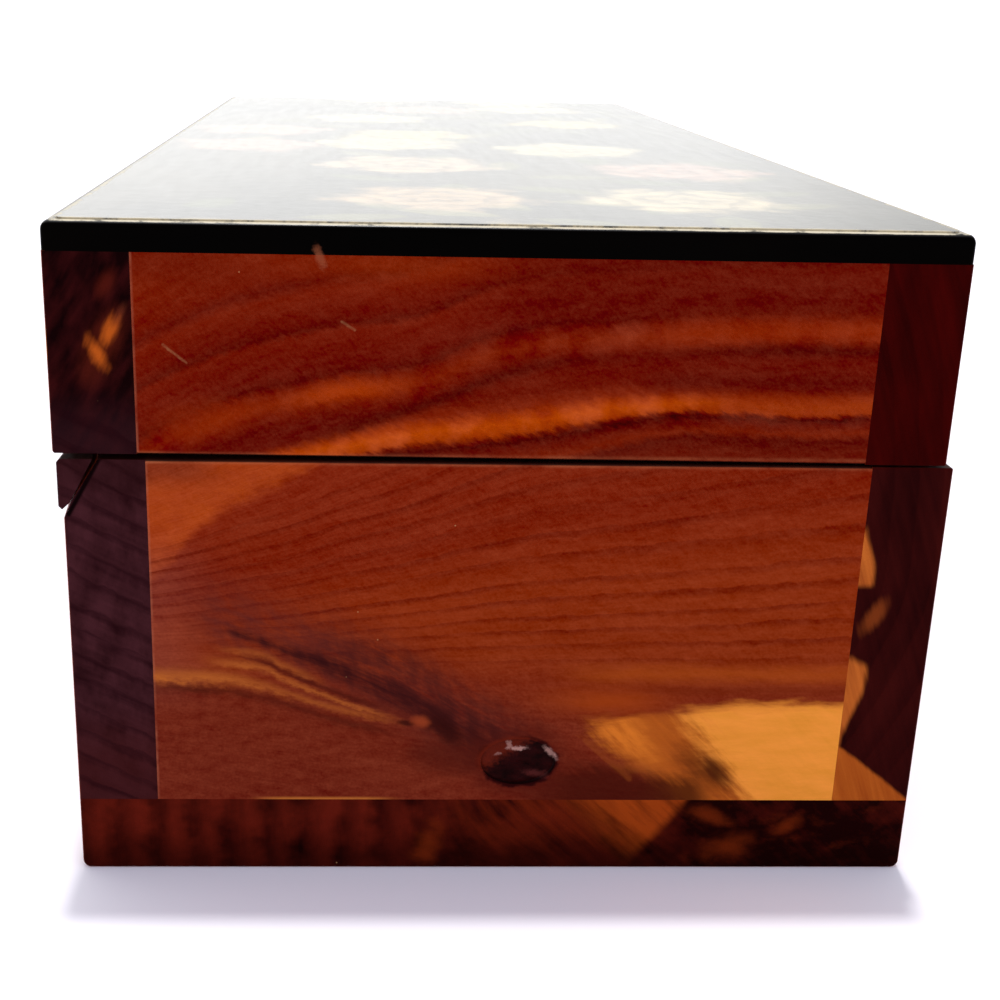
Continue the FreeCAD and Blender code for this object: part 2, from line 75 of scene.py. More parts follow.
class Field:
    """A number at every point of a surface, made by nodes, that adds and multiplies like a number."""

    def __init__(self, nodes, socket):
        self.nodes = nodes
        self.socket = socket

    def __add__(self, other):
        return self.nodes.math("ADD", self, other)

    def __radd__(self, other):
        return self.nodes.math("ADD", other, self)

    def __sub__(self, other):
        return self.nodes.math("SUBTRACT", self, other)

    def __rsub__(self, other):
        return self.nodes.math("SUBTRACT", other, self)

    def __mul__(self, other):
        return self.nodes.math("MULTIPLY", self, other)

    def __rmul__(self, other):
        return self.nodes.math("MULTIPLY", other, self)

    def __truediv__(self, other):
        return self.nodes.math("DIVIDE", self, other)

    def __neg__(self):
        return self.nodes.math("MULTIPLY", self, -1.0)

    def most(self, other):
        return self.nodes.math("MAXIMUM", self, other)

    def least(self, other):
        return self.nodes.math("MINIMUM", self, other)

    def size(self):
        return self.nodes.math("ABSOLUTE", self)

    def root(self):
        return self.nodes.math("SQRT", self)

    def part(self):
        """What is left after the whole number."""
        return self.nodes.math("FRACT", self)

    def wave(self):
        return self.nodes.math("COSINE", self)

    def bell(self, width):
        """1 where the field is zero, falling off smoothly over the width."""
        scaled = self / width
        return self.nodes.math("EXPONENT", -(scaled * scaled))

    def step(self, low, high):
        """0 up to the low value, 1 from the high one, smooth between; falling if the high one comes first."""
        node = self.nodes.node("ShaderNodeMapRange", interpolation_type="SMOOTHSTEP")
        self.nodes.feed(node.inputs["Value"], self)
        self.nodes.feed(node.inputs["From Min"], low)
        self.nodes.feed(node.inputs["From Max"], high)
        return Field(self.nodes, node.outputs["Result"])


class Nodes:
    """A node tree that is written as formulas of fields."""

    def __init__(self, tree):
        self.tree = tree

    def node(self, kind, **settings):
        node = self.tree.nodes.new(kind)
        for name, setting in settings.items():
            setattr(node, name, setting)
        return node

    def feed(self, socket, value):
        if isinstance(value, Field):
            self.tree.links.new(value.socket, socket)
        elif isinstance(value, bpy.types.NodeSocket):
            self.tree.links.new(value, socket)
        else:
            socket.default_value = value

    def split(self, vector):
        node = self.node("ShaderNodeSeparateXYZ")
        self.feed(node.inputs[0], vector)
        return [Field(self, output) for output in node.outputs]

    def vector(self, x, y, z):
        node = self.node("ShaderNodeCombineXYZ")
        for socket, value in zip(node.inputs, (x, y, z)):
            self.feed(socket, value)
        return node.outputs[0]

    def math(self, operation, *values):
        node = self.node("ShaderNodeMath", operation=operation)
        for socket, value in zip(node.inputs, values):
            self.feed(socket, value)
        return Field(self, node.outputs[0])

    def noise(self, x, y, z, detail=2.0, roughness=0.5):
        """Cloudy noise from -1 to 1 about zero, one cell to each unit of the given coordinates."""
        node = self.node("ShaderNodeTexNoise")
        self.feed(node.inputs["Vector"], self.vector(x, y, z))
        self.feed(node.inputs["Scale"], 1.0)
        self.feed(node.inputs["Detail"], detail)
        self.feed(node.inputs["Roughness"], roughness)
        return Field(self, node.outputs["Fac"]) * 2.0 - 1.0

    def specks(self, x, y, z, size):
        """1 at the middle of scattered grains, one to each unit cell, falling to 0 at the given size."""
        node = self.node("ShaderNodeTexVoronoi")
        self.feed(node.inputs["Vector"], self.vector(x, y, z))
        self.feed(node.inputs["Scale"], 1.0)
        return Field(self, node.outputs["Distance"]).step(size, 0.0)

    def scatter(self, x, y, cell, seed, disorder):
        """Cells of about the given size over a plane.

        Gives the place from the nearest cell's middle, in cells, that middle itself, and two random numbers
        of the cell.
        """
        node = self.node("ShaderNodeTexVoronoi", voronoi_dimensions="2D")
        across = x / cell + seed
        up = y / cell
        self.feed(node.inputs["Vector"], self.vector(across, up, 0.0))
        self.feed(node.inputs["Scale"], 1.0)
        self.feed(node.inputs["Randomness"], disorder)
        middle_across, middle_up, _ = self.split(node.outputs["Position"])
        chance, turn, _ = self.split(node.outputs["Color"])
        middle = ((middle_across - seed) * cell, middle_up * cell)
        return across - middle_across, up - middle_up, middle, chance, turn

    def mix(self, share, first, second):
        node = self.node("ShaderNodeMix", data_type="RGBA")
        for socket, value in zip((node.inputs[0], node.inputs[6], node.inputs[7]), (share, first, second)):
            self.feed(socket, value)
        return node.outputs[2]

    def shade(self, colour, factor):
        node = self.node("ShaderNodeVectorMath", operation="SCALE")
        self.feed(node.inputs[0], colour)
        self.feed(node.inputs["Scale"], factor)
        return node.outputs[0]

    def tint(self, colour, tone, amount):
        """A colour with some of a tone added to it, or taken away where the amount is below zero."""
        node = self.node("ShaderNodeVectorMath", operation="MULTIPLY_ADD")
        for socket, value in zip(node.inputs, (amount, tone, colour)):
            self.feed(socket, value)
        floor = self.node("ShaderNodeVectorMath", operation="MAXIMUM")
        self.feed(floor.inputs[0], node.outputs[0])
        return floor.outputs[0]

    def path(self, field, points):
        """Height of a smooth line through points, each a value of the field and a height."""
        low = points[0][0]
        high = points[-1][0]
        bottom = min(height for _, height in points)
        rise = max(height for _, height in points) - bottom
        node = self.node("ShaderNodeFloatCurve")
        self.feed(node.inputs["Value"], (field - low) / (high - low))
        marks = node.mapping.curves[0].points
        places = [((value - low) / (high - low), (height - bottom) / rise) for value, height in points]
        marks[0].location = places[0]
        marks[1].location = places[-1]
        for place in places[1:-1]:
            marks.new(*place)
        node.mapping.update()
        return Field(self, node.outputs[0]) * rise + bottom

    def ramp(self, field, stops):
        """Colours along a field, each stop a value of the field and a colour."""
        low = stops[0][0]
        high = stops[-1][0]
        node = self.node("ShaderNodeValToRGB")
        self.feed(node.inputs[0], (field - low) / (high - low))
        marks = node.color_ramp.elements
        while len(marks) < len(stops):
            marks.new(1.0)
        for mark, (value, colour) in zip(marks, stops):
            mark.position = (value - low) / (high - low)
            mark.color = colour
        return node.outputs[0]

    def ellipse(self, across, up, spot):
        """Distance from a spot's middle, 1 on its rim.

        A spot is (across, up, half length, half width, slant in degrees).
        """
        middle_across, middle_up, half_length, half_width, slant = spot
        turn = math.radians(slant)
        right = across - middle_across
        above = up - middle_up
        along = (right * math.cos(turn) + above * math.sin(turn)) / half_length
        off = (above * math.cos(turn) - right * math.sin(turn)) / half_width
        return (along * along + off * off).root()

    def stroke(self, across, up, line, width):
        """1 on a straight line from one point to another, 0 a width away from it."""
        start = Vector(line[:2])
        run = Vector(line[2:]) - start
        along = ((across - start.x) * run.x + (up - start.y) * run.y) / run.length_squared
        along = along.most(0.0).least(1.0)
        right = across - start.x - along * run.x
        above = up - start.y - along * run.y
        return (right * right + above * above).root().step(width, width / 4)


class Paint(Nodes):
    """A material under construction, with the surface's place in millimetres as its first fields."""

    def __init__(self, name):
        self.material = bpy.data.materials.new(name)
        self.material.use_nodes = True
        super().__init__(self.material.node_tree)
        self.shader = self.tree.nodes["Principled BSDF"]
        place = self.node("ShaderNodeTexCoord")
        self.x, self.y, self.z = (axis * PER_M for axis in self.split(place.outputs["Object"]))
        self.facing_x, self.facing_y, self.facing_z = self.split(place.outputs["Normal"])
        self.back = BACK_FACE - self.y

    def finish(self, colour, roughness, height, relief, specular=0.5, coat=0.0, coat_roughness=0.1,
               metallic=0.0):
        """Wires up the shader, with a bump of the given relief in millimetres."""
        self.feed(self.shader.inputs["Base Color"], colour)
        self.feed(self.shader.inputs["Roughness"], roughness)
        self.feed(self.shader.inputs["Specular IOR Level"], specular)
        self.feed(self.shader.inputs["Coat Weight"], coat)
        self.feed(self.shader.inputs["Coat Roughness"], coat_roughness)
        self.feed(self.shader.inputs["Metallic"], metallic)
        bump = self.node("ShaderNodeBump")
        self.feed(bump.inputs["Distance"], relief * MM)
        self.feed(bump.inputs["Height"], height)
        self.feed(self.shader.inputs["Normal"], bump.outputs[0])
        return self.material


# Cedar

HEART_LIGHT = srgb(146, 54, 14)
HEART_MIDDLE = srgb(122, 37, 9)
HEART_DARK = srgb(84, 17, 5)
SAPWOOD = srgb(222, 138, 50)
SAPWOOD_SHADE = srgb(168, 88, 30)
KNOT_DARK = srgb(38, 5, 5)
KNOT_RED = srgb(98, 26, 10)
RAW_LIGHT = srgb(196, 122, 82)
RAW_DARK = srgb(160, 84, 54)
WORN = srgb(214, 168, 112)
WOOD_TINT = (0.043, 0.0116, 0.0045)
BARE_SPECULAR = 0.008
WOOD_COAT = 0.2
WOOD_GLOSS = 0.42


def year_part(paint, line, spacing, seed):
    """How far each year has gone, 0 to 1, in years of uneven width."""
    uneven = paint.noise(line / (spacing * 3.0), seed, 0.0, detail=1.0)
    return (line / spacing + uneven * 0.9).part()


def rings(paint, radius, spacing, seed):
    """Darkness of the late wood, 0 to 1, rising slowly through each year and ending sharply."""
    year = year_part(paint, radius, spacing, seed)
    return year.step(0.25, 0.88) * year.step(1.0, 0.9)


def thin_rings(paint, line, spacing, seed):
    """Thin dark lines where each year's growth ends."""
    year = year_part(paint, line, spacing, seed)
    return year.step(0.5, 0.86) * year.step(1.0, 0.92)


def fibres(paint, along, across, depth, seed):
    """Fine lengthwise streaks of the grain, about zero."""
    coarse = paint.noise(along / 26.0, across / 1.3 + seed, depth / 1.3, detail=3.0, roughness=0.6)
    fine = paint.noise(along / 7.0, across / 0.28, depth / 0.28 + seed, detail=2.0)
    return coarse * 0.6 + fine * 0.4


def depth_in(paint):
    """Distance in from the nearest of the box's four outer faces."""
    ends = (paint.x - BOTTOM_LOW.x).least(BOTTOM_HIGH.x - paint.x)
    sides = paint.back.least(paint.y - BOTTOM_LOW.y)
    return ends.least(sides)


def end_share(paint):
    """1 on the faces at the box's two ends."""
    return paint.facing_x.size().step(0.6, 0.85)


def inside_share(paint):
    """1 on the faces inside the box, which have no varnish."""
    room = WALL - 0.6
    return depth_in(paint).step(room - 0.3, room) * paint.z.step(BOTTOM_HIGH.z - 0.6, BOTTOM_HIGH.z - 0.3)


def knots(paint, along, across, places):
    """How far the rings are pushed aside by knots, and how much of each point is knot."""
    push = 0.0
    share = 0.0
    for middle, height, radius in places:
        distance = paint.ellipse(along, across, (middle, height, radius * 1.25, radius, 0))
        push = push + (distance / 2.6).bell(1.0) * radius * 1.5
        share = share + distance.step(1.05, 0.8)
    return push, share


def seam_shade(paint):
    """Painted shade: 1 on the outer edges of the rims, darkened where the gap between lid and base lies in
    shadow, most at the left end.
    """
    level = (paint.z - RIM).size().step(1.4, 0.8) * paint.facing_z.size().step(0.35, 0.75)
    left_edge = (paint.x - LEFT_FACE).step(4.0, 1.5)
    return level * left_edge.most(depth_in(paint).step(1.8, 0.3) * 0.6)


def varnished(paint, colour, late, grain):
    """Finishes cedar: varnished outside, dull on the ends, bare inside, with the grain's relief."""
    raw = paint.mix(late * 0.7 - grain * 0.2, RAW_LIGHT, RAW_DARK)
    inside = inside_share(paint)
    end = end_share(paint)
    dust = paint.specks(paint.x / 5.5, paint.y / 5.5, paint.z / 5.5, 0.026)
    colour = paint.mix(dust * 0.45, colour, WORN)
    colour = paint.mix(inside, colour, raw)
    # Painted shade in the seam between lid and base, on the rims' outer edges.
    colour = paint.mix(seam_shade(paint) * 0.92, colour, srgb(24, 6, 4))
    rough = grain * 0.06 + WOOD_GLOSS + inside * 0.3
    coat = (1.0 - end) * (1.0 - inside * 0.5) * WOOD_COAT
    return paint.finish(colour, rough, grain - late * 0.45, 0.05, BARE_SPECULAR, coat, WOOD_GLOSS)


def heartwood(paint, light, late, grain, streak, knot):
    """Red heartwood with late wood, streaks of sapwood and knots, each given as its share."""
    colour = paint.mix(light, HEART_MIDDLE, HEART_LIGHT)
    colour = paint.mix(late * 0.6 - grain * 0.15, colour, HEART_DARK)
    colour = paint.mix(streak * 0.9, colour, paint.mix(late * 0.55, SAPWOOD, SAPWOOD_SHADE))
    colour = paint.mix(knot, colour, paint.mix(late, KNOT_RED, KNOT_DARK))
    return paint.shade(colour, grain * 0.22 + 1.0)


def board_wood(name, pith, tilt, spacing, seed, knot_places, end_marks):
    """A board whose grain runs along X.

    pith is the heart of the tree as (back, z), tilt its drift per 100 mm along the board, and end_marks
    paints the end grain.
    """
    paint = Paint(name)
    along = paint.x
    sway = paint.noise(along / 70.0, paint.y / 90.0, paint.z / 40.0 + seed)
    push, knot = knots(paint, along, paint.z + paint.y, knot_places)
    back = paint.back - pith[0] - along * (tilt[0] / 100.0) + sway * 5.0
    up = paint.z - pith[1] - along * (tilt[1] / 100.0) + sway * 3.0
    radius = (back * back + up * up).root() + push
    late = rings(paint, radius, spacing, seed)
    grain = fibres(paint, along, paint.y, paint.z, seed)
    cloud = paint.noise(along / 60.0, paint.y / 14.0, paint.z / 14.0 + seed)
    streak = paint.noise(along / 120.0, paint.y / 9.0 + seed, paint.z / 9.0).step(0.34, 0.5)
    colour = heartwood(paint, cloud * 0.9 + 0.45, late, grain, streak, knot)
    end = end_share(paint)
    colour = paint.mix(end, colour, end_marks(paint, late, seed))
    return varnished(paint, colour, late, grain)


# End grain of the long boards and the bottom, as it shows at the photographed left end

SPLIT_LINE = (4.3, 52.8, 0.6, 46.2)
CHIP = (29.1, 75.9, 1.5, 0.55, -66)
FLAME_GLOW = (5.4, 66.0, 4.4, 1.9, 62)
FLAME_UPPER = (6.1, 67.3, 2.1, 0.85, 64)
FLAME_LOWER = (4.7, 65.0, 2.1, 0.9, -64)
FLAME_TIP = (7.4, 69.4, 1.7, 0.55, 66)
FLAME_EMBER = (5.9, 72.7, 1.7, 0.9, 62)
FRONT_SMEAR = (94.9, 34.3, 2.6, 1.2, 62)
BOTTOM_SPOTS = [(42.6, 3.4, 2.4, 1.3, 70), (77.0, 7.5, 2.4, 0.9, -20), (80.0, 2.9, 2.6, 1.5, 15),
                (87.0, 6.0, 1.8, 0.9, 30)]


def left_share(paint):
    """1 on the left half of the box, so that its marks don't come back on the right end."""
    return paint.x.step(0.0, -1.0)


def chipped(paint, colour):
    """A small chip that crosses from the lacquered panel into the lid's end."""
    torn = paint.noise(paint.back / 0.8, paint.z / 0.8, 4.0, detail=4.0, roughness=0.65)
    chip = (paint.ellipse(paint.back, paint.z, CHIP) + torn * 0.9).step(1.3, 0.3)
    return paint.mix(chip * left_share(paint) * 0.52, colour, srgb(142, 78, 50))


def back_end_grain(paint, late, seed):
    """Wine-dark end grain with slanting rings and a split, its purple-grey cast a painted sheen; redder in
    the lid, with an orange flame.
    """
    back = paint.back
    z = paint.z
    left = left_share(paint)
    slant = z + back * 0.5
    cloud = paint.noise(back / 3.0, z / 6.0, seed, detail=4.0, roughness=0.6)
    thread = paint.noise(slant / 0.8, (back - z) / 12.0, seed, detail=3.0)
    climb = paint.noise((back - z * 0.6) / 2.2, (back + z) / 9.0, seed + 3.0, detail=3.0)
    lines = thin_rings(paint, slant + thread * 0.6 + cloud * 1.2, 3.3, seed)
    # The wood itself is dark; its purple-grey cast in the base, and in the lid's lower part, is painted
    # sheen, light reflected off the end grain.
    base = paint.mix(cloud * 1.4 + thread * 0.4 + 0.45, srgb(62, 28, 32), srgb(38, 12, 15))
    base = paint.mix(z.step(24.0, 14.0) * 0.6, base, srgb(58, 18, 17))
    lid = paint.mix(climb * 1.5 + cloud * 0.6 + 0.6, srgb(47, 9, 9), srgb(15, 1, 2))
    lid = paint.mix(z.step(62.0, 55.0) * 0.6, lid, srgb(43, 18, 22))
    in_lid = z.step(RIM, RIM + 0.5)
    colour = paint.mix(in_lid, base, lid)
    faint = 0.42 + thread * 0.5 - in_lid * z.step(56.0, 62.0) * 0.42
    colour = paint.mix(lines * faint, colour, srgb(26, 3, 7))
    corner = z.step(46.0, 52.0) * in_lid.step(0.5, 0.0)
    colour = paint.mix(corner * 0.45, colour, srgb(34, 9, 10))
    crack = paint.stroke(back, z, SPLIT_LINE, 0.45)
    colour = paint.mix(crack * left, colour, srgb(10, 1, 2))
    return paint.mix(left, colour, flame(paint, colour, cloud * 0.35 + climb * 0.35))


def flame(paint, colour, torn):
    """Two small lobes of orange wood in the lid's dark back corner."""
    back = paint.back
    z = paint.z
    streaks = paint.noise((back - z * 0.5) / 0.7, (back + z) / 5.0, 6.0, detail=3.0)
    glow = paint.ellipse(back, z, FLAME_GLOW)
    colour = paint.mix((glow + torn).step(1.5, 0.2) * 0.5, colour, srgb(86, 26, 11))
    upper = paint.ellipse(back, z, FLAME_UPPER)
    lower = paint.ellipse(back, z, FLAME_LOWER)
    hot = (upper.least(lower) + torn + streaks * 0.6).step(1.4, 0.0)
    colour = paint.mix(hot * 0.85, colour, srgb(182, 84, 22))
    tip = paint.ellipse(back, z, FLAME_TIP)
    colour = paint.mix((tip + torn).step(1.3, 0.2) * 0.35, colour, srgb(112, 48, 28))
    ember = (paint.ellipse(back, z, FLAME_EMBER) + torn).step(1.6, 0.1)
    return paint.mix(ember * 0.28, colour, srgb(108, 32, 15))


def front_end_grain(paint, late, seed):
    """Dark maroon end grain with wedges of sapwood along the joint."""
    back = paint.back
    z = paint.z
    cloud = paint.noise(back / 4.0, z / 14.0, seed, detail=3.0)
    thread = paint.noise((back + z * 0.35) / 1.0, z / 16.0, seed, detail=3.0)
    dark = late * 0.2 + cloud * 0.7 + thread * 0.4 + 0.35
    base = paint.mix(dark, srgb(52, 9, 7), srgb(22, 1, 2))
    lid = paint.mix(dark, srgb(58, 2, 1), srgb(27, 0, 0))
    colour = paint.mix(z.step(RIM - 0.5, RIM + 0.5), base, lid)
    out = back - FRONT_JOINT + thread * 0.3 + cloud * 0.5
    upper = (z.step(46.5, 39.6) * 1.7 - out).step(-0.4, 0.4) * z.step(37.6, 38.6) * z.step(46.0, 44.5)
    middle = (z.step(15.5, 26.6) * 2.3 - out).step(-0.4, 0.5) * (z + out * 0.5).step(29.6, 28.2)
    lower = ((17.2 - z) * 1.27 - out).step(-0.5, 0.5) * z.step(17.4, 16.6)
    smear = (paint.ellipse(back, z, FRONT_SMEAR) + thread * 0.5).step(1.3, 0.3)
    left = left_share(paint)
    tan = paint.mix(thread + 0.4, srgb(186, 98, 36), srgb(136, 60, 21))
    colour = paint.mix(upper.most(middle) * left * 0.95, colour, tan)
    brown = paint.mix(thread * 0.8 + 0.5, srgb(178, 92, 28), srgb(134, 54, 15))
    colour = paint.mix(lower * left, colour, brown)
    return paint.mix(smear * left * 0.7, colour, srgb(126, 56, 20))


def bottom_end_grain(paint, late, seed):
    """Dark red end grain in soft bars, with a wedge of paler wood that narrows downwards."""
    back = paint.back
    z = paint.z
    left = left_share(paint)
    band = back + (z - BOTTOM_HIGH.z) * back.step(36.0, 60.0)
    cloud = paint.noise(back / 7.0, z / 5.0, seed, detail=3.0)
    stripe = paint.noise(band / 2.6, z / 12.0, seed, detail=3.0)
    fine = paint.noise(band / 0.9, z / 4.0, seed, detail=4.0, roughness=0.6)
    mottle = paint.noise(back / 1.2, z / 1.2, seed + 2.0, detail=3.0)
    swell = ((band / 4.6 + cloud * 0.45) * (2.0 * math.pi)).wave() * back.step(50.0, 36.0)
    dark = swell * 0.22 + stripe * 0.35 + fine * 0.18 + cloud * 0.8 + mottle * 0.16 + 0.42
    dark = dark + back.step(33.0, 45.0) * 0.25 + back.step(72.0, 76.0) * 0.35
    colour = paint.mix(dark, srgb(90, 22, 11), srgb(22, 1, 1))
    warm = back.step(42.0, 52.0) * back.step(74.0, 66.0) * z.step(-2.0, 9.0)
    colour = paint.mix(warm * left * (0.3 - stripe * 1.2 - fine * 0.3), colour, srgb(108, 32, 9))
    pale = (band + stripe * 2.5).step(56.5, 66.0) * (back - z * 0.75 + cloud * 0.8).step(68.2, 66.0)
    colour = paint.mix(pale * left * (0.85 - fine * 0.7 - stripe * 0.9), colour, srgb(144, 57, 14))
    blot = paint.noise(back / 4.0, z / 2.6, seed + 4.0, detail=4.0, roughness=0.6)
    spots = back.step(73.0, 75.0) * blot.step(0.05, 0.7) * 0.5
    for spot in BOTTOM_SPOTS:
        spots = spots.most((paint.ellipse(back, z, spot) + blot * 1.3).step(1.9, -0.1))
    colour = paint.mix(z.step(6.0, 0.6) * 0.55, colour, srgb(18, 2, 1))
    return paint.mix(spots * left * 0.5, colour, srgb(122, 42, 11))


# The photographed end panel: rings that arch over a knot, with a pale patch of sapwood low at the front

FAN_HEIGHT = 26.7
KNOT_HOLE = (53.3, 14.8, 4.6, 3.1, 0)
PIN_KNOT = (41.3, 20.2)
KNOT_SMEAR = (45.6, 15.6, 6.0, 2.4, -10)
TONGUE = (65.2, 18.9, 6.0, 2.6, -45)
EYE = (76.2, 13.9, 4.4, 2.2, -42)
EYE_CORE = (77.4, 13.6, 3.3, 1.5, -50)
SLIVER_LINE = (61.4, 17.8, 67.0, 12.6)
LID_CORNER = (15.5, 57.4, 6.0, 2.6, 10)
# Painted highlights in the knot hole, pale chips of light: a bar, a spike, a crumb, one on the front flank,
# and a dim one below
GLINT_BAR = (53.2, 16.5, 1.3, 0.36, 3)
GLINT_SPIKE = (52.2, 17.0, 0.8, 0.4, -60)
GLINT_CRUMB = (50.8, 15.6, 0.6, 0.3, 10)
GLINT_FLANK = (57.2, 16.0, 1.2, 0.45, -46)
GLINT_LOW = (55.6, 13.0, 1.6, 0.5, -6)
SCRATCHES = [(11.9, 66.0, 14.4, 64.0), (31.6, 68.8, 33.0, 67.9)]
# Paths across the panel as (back, z): the bright streak, the dark line over it, and the band over that
STREAK_PATH = [
    (9.5, 45.4), (17.0, 49.4), (25.0, 52.7), (33.0, 54.6), (41.0, 56.1), (47.0, 56.7), (52.0, 57.4),
    (56.2, 58.1), (60.7, 58.9), (66.3, 59.6), (70.0, 59.95), (74.1, 59.95), (78.5, 59.75), (83.0, 59.55),
    (93.0, 59.9),
]
SHADE_PATH = [
    (9.5, 48.5), (17.0, 52.0), (27.5, 55.0), (33.5, 57.0), (39.0, 58.8), (44.0, 60.7), (49.5, 63.0),
    (55.0, 64.4), (61.0, 65.1), (70.0, 65.9), (93.0, 66.2),
]
BAND_PATH = [
    (9.5, 53.6), (14.0, 55.9), (22.0, 58.9), (27.0, 60.0), (31.0, 60.9), (36.0, 61.4), (41.0, 62.4),
    (47.0, 65.0), (54.0, 66.7), (61.0, 67.3), (75.0, 68.2), (93.0, 68.5),
]
# Colours across the streak and the band, as (height over the path, colour)
STREAK_STOPS = [
    (-8.0, srgb(96, 18, 3)), (-5.4, srgb(84, 11, 2)), (-4.2, srgb(112, 27, 4)), (-2.8, srgb(94, 15, 3)),
    (-1.9, srgb(76, 8, 2)), (-1.4, srgb(104, 24, 4)), (-0.8, srgb(154, 56, 8)), (0.2, srgb(172, 67, 9)),
    (1.0, srgb(152, 52, 7)), (2.0, srgb(120, 31, 5)), (3.4, srgb(102, 19, 3)), (7.0, srgb(98, 16, 3)),
]
BAND_STOPS = [
    (-3.0, srgb(92, 13, 3)), (-1.3, srgb(107, 22, 4)), (0.0, srgb(120, 31, 5)), (1.2, srgb(107, 22, 4)),
    (2.1, srgb(86, 11, 2)), (3.2, srgb(97, 15, 3)), (5.5, srgb(105, 20, 4)), (6.9, srgb(108, 22, 4)),
    (7.6, srgb(88, 12, 2)), (8.8, srgb(100, 17, 3)), (11.6, srgb(113, 26, 5)), (12.8, srgb(94, 15, 3)),
    (14.0, srgb(108, 23, 4)), (20.0, srgb(120, 32, 6)),
]
# How much closer the base's growth lines lie than at the front edge, as (back, share)
FAN_PATH = [
    (9.5, 0.639), (15.4, 0.6), (20.1, 0.563), (25.4, 0.525), (32.4, 0.45), (39.4, 0.387), (46.4, 0.306),
    (53.5, 0.238), (61.7, 0.193), (73.4, 0.122), (93.0, 0.0),
]
# Years counted up the front edge, as (height over the fan's level line, years)
YEAR_PATH = [
    (-8.0, -2.8), (2.3, 1.0), (4.9, 2.0), (7.4, 3.0), (9.6, 4.0), (12.6, 5.0), (15.4, 6.0), (19.6, 7.0),
    (23.1, 8.0), (28.9, 9.5), (34.6, 11.0), (40.4, 12.5), (60.0, 17.5),
]
# Lower edge of the bright upper back corner
CORNER_PATH = [
    (9.5, 38.5), (12.0, 40.5), (14.0, 43.6), (18.9, 47.6), (24.0, 50.4), (28.7, 52.9), (36.0, 56.0),
    (60.0, 66.0), (93.0, 80.0),
]
# Pale strands that run down into the pin knot, and the dark thread over them that runs on to the knot hole
LOW_STRAND_PATH = [
    (9.5, 26.0), (14.0, 25.9), (18.0, 25.7), (22.0, 24.9), (26.0, 23.6), (31.0, 21.9), (36.0, 20.7),
    (41.0, 19.6),
]
HIGH_STRAND_PATH = [
    (9.5, 28.4), (14.0, 28.3), (18.0, 27.7), (22.0, 27.2), (25.0, 25.7), (29.0, 23.9), (35.0, 21.6),
    (41.0, 19.9),
]
THREAD_PATH = [
    (9.5, 34.0), (18.4, 31.9), (22.0, 30.7), (26.0, 29.1), (31.0, 27.3), (36.0, 25.1), (40.0, 23.0),
    (43.5, 20.9), (46.0, 19.2), (49.0, 17.4), (54.0, 15.2),
]


def base_lines(paint):
    """A number that is the same along each of the base's growth lines, which fan out towards the front."""
    back = paint.back
    z = paint.z
    wave = paint.noise(back / 14.0, z / 6.0, 0.3)
    ripple = paint.noise(back / 2.5, (z - back * 0.2) / 2.0, 0.7, detail=4.0, roughness=0.65)
    return (z - FAN_HEIGHT) / (1.0 - paint.path(back, FAN_PATH)) + wave * 0.5 + ripple * 0.6


def base_tone(paint, line):
    """Broad colours of the base: even brown-orange, brighter in the upper back corner but for its rim."""
    colour = paint.ramp(line, [
        (-30.0, srgb(107, 36, 20)),
        (-8.0, srgb(107, 35, 18)),
        (-2.0, srgb(117, 38, 16)),
        (3.0, srgb(127, 43, 13)),
        (13.0, srgb(130, 43, 12)),
        (19.0, srgb(125, 38, 10)),
        (25.0, srgb(117, 31, 8)),
        (45.0, srgb(122, 35, 12)),
    ])
    rough = paint.noise(paint.back / 3.0, paint.z / 2.0, 4.4, detail=4.0, roughness=0.65)
    corner = paint.z - paint.path(paint.back, CORNER_PATH) + rough * 1.5
    bright = paint.mix(rough + 0.4, srgb(152, 56, 19), srgb(168, 68, 21))
    colour = paint.mix(corner.step(-1.6, 1.2) * 0.9, colour, bright)
    dull = (paint.z + rough * 1.4).step(48.6, 51.6) * (paint.back + rough * 2.0).step(20.0, 13.0)
    colour = paint.mix(dull * 0.85, colour, srgb(118, 42, 19))
    haze = paint.back.step(19.0, 10.0) * paint.z.step(45.0, 38.0) * paint.z.step(20.0, 28.0)
    return paint.mix(haze * 0.35, colour, srgb(126, 66, 52))


def streak_tone(paint, above_streak, glow):
    """A bright streak with a sharp lower edge, dimmer towards the front, where dark wood lies over it."""
    back = paint.back
    narrow = back.step(56.0, 72.0) * 0.4 + 1.0
    colour = paint.ramp(above_streak * narrow, STREAK_STOPS)
    colour = paint.tint(colour, WOOD_TINT, above_streak.bell(1.4) * glow * 5.0)
    dim = above_streak.step(-1.2, -0.4) * above_streak.step(2.4, 0.8) * back.step(68.0, 77.0)
    colour = paint.mix(dim * 0.75, colour, srgb(132, 39, 5))
    shade = (paint.z - 62.5).bell(1.4) * back.step(62.0, 70.0)
    return paint.mix(shade * 0.75, colour, srgb(84, 9, 2))


def band_tone(paint, above_band, glow):
    """A soft band with orange embers in it, and even darker wood over it towards the front."""
    back = paint.back
    z = paint.z
    colour = paint.ramp(above_band, BAND_STOPS)
    light = glow * 2.4 - back.step(30.0, 16.0) * 0.6
    colour = paint.tint(colour, WOOD_TINT, above_band.bell(2.4) * light)
    dark = back.step(42.0, 56.0) * z.step(68.8, 70.6)
    colour = paint.mix(dark * 0.65, colour, srgb(90, 12, 2))
    ember = above_band.bell(1.2) * ((back - 32.0).bell(6.0) * 0.8 + (back - 18.0).bell(3.5) * 0.4)
    colour = paint.mix(ember, colour, srgb(160, 55, 8))
    colour = paint.mix(above_band.bell(1.7) * back.step(62.0, 72.0) * 0.5, colour, srgb(140, 41, 5))
    crest = (z - 75.0).bell(1.6) * (back - 38.0).bell(11.0)
    return paint.mix(crest * 0.5, colour, srgb(138, 44, 8))


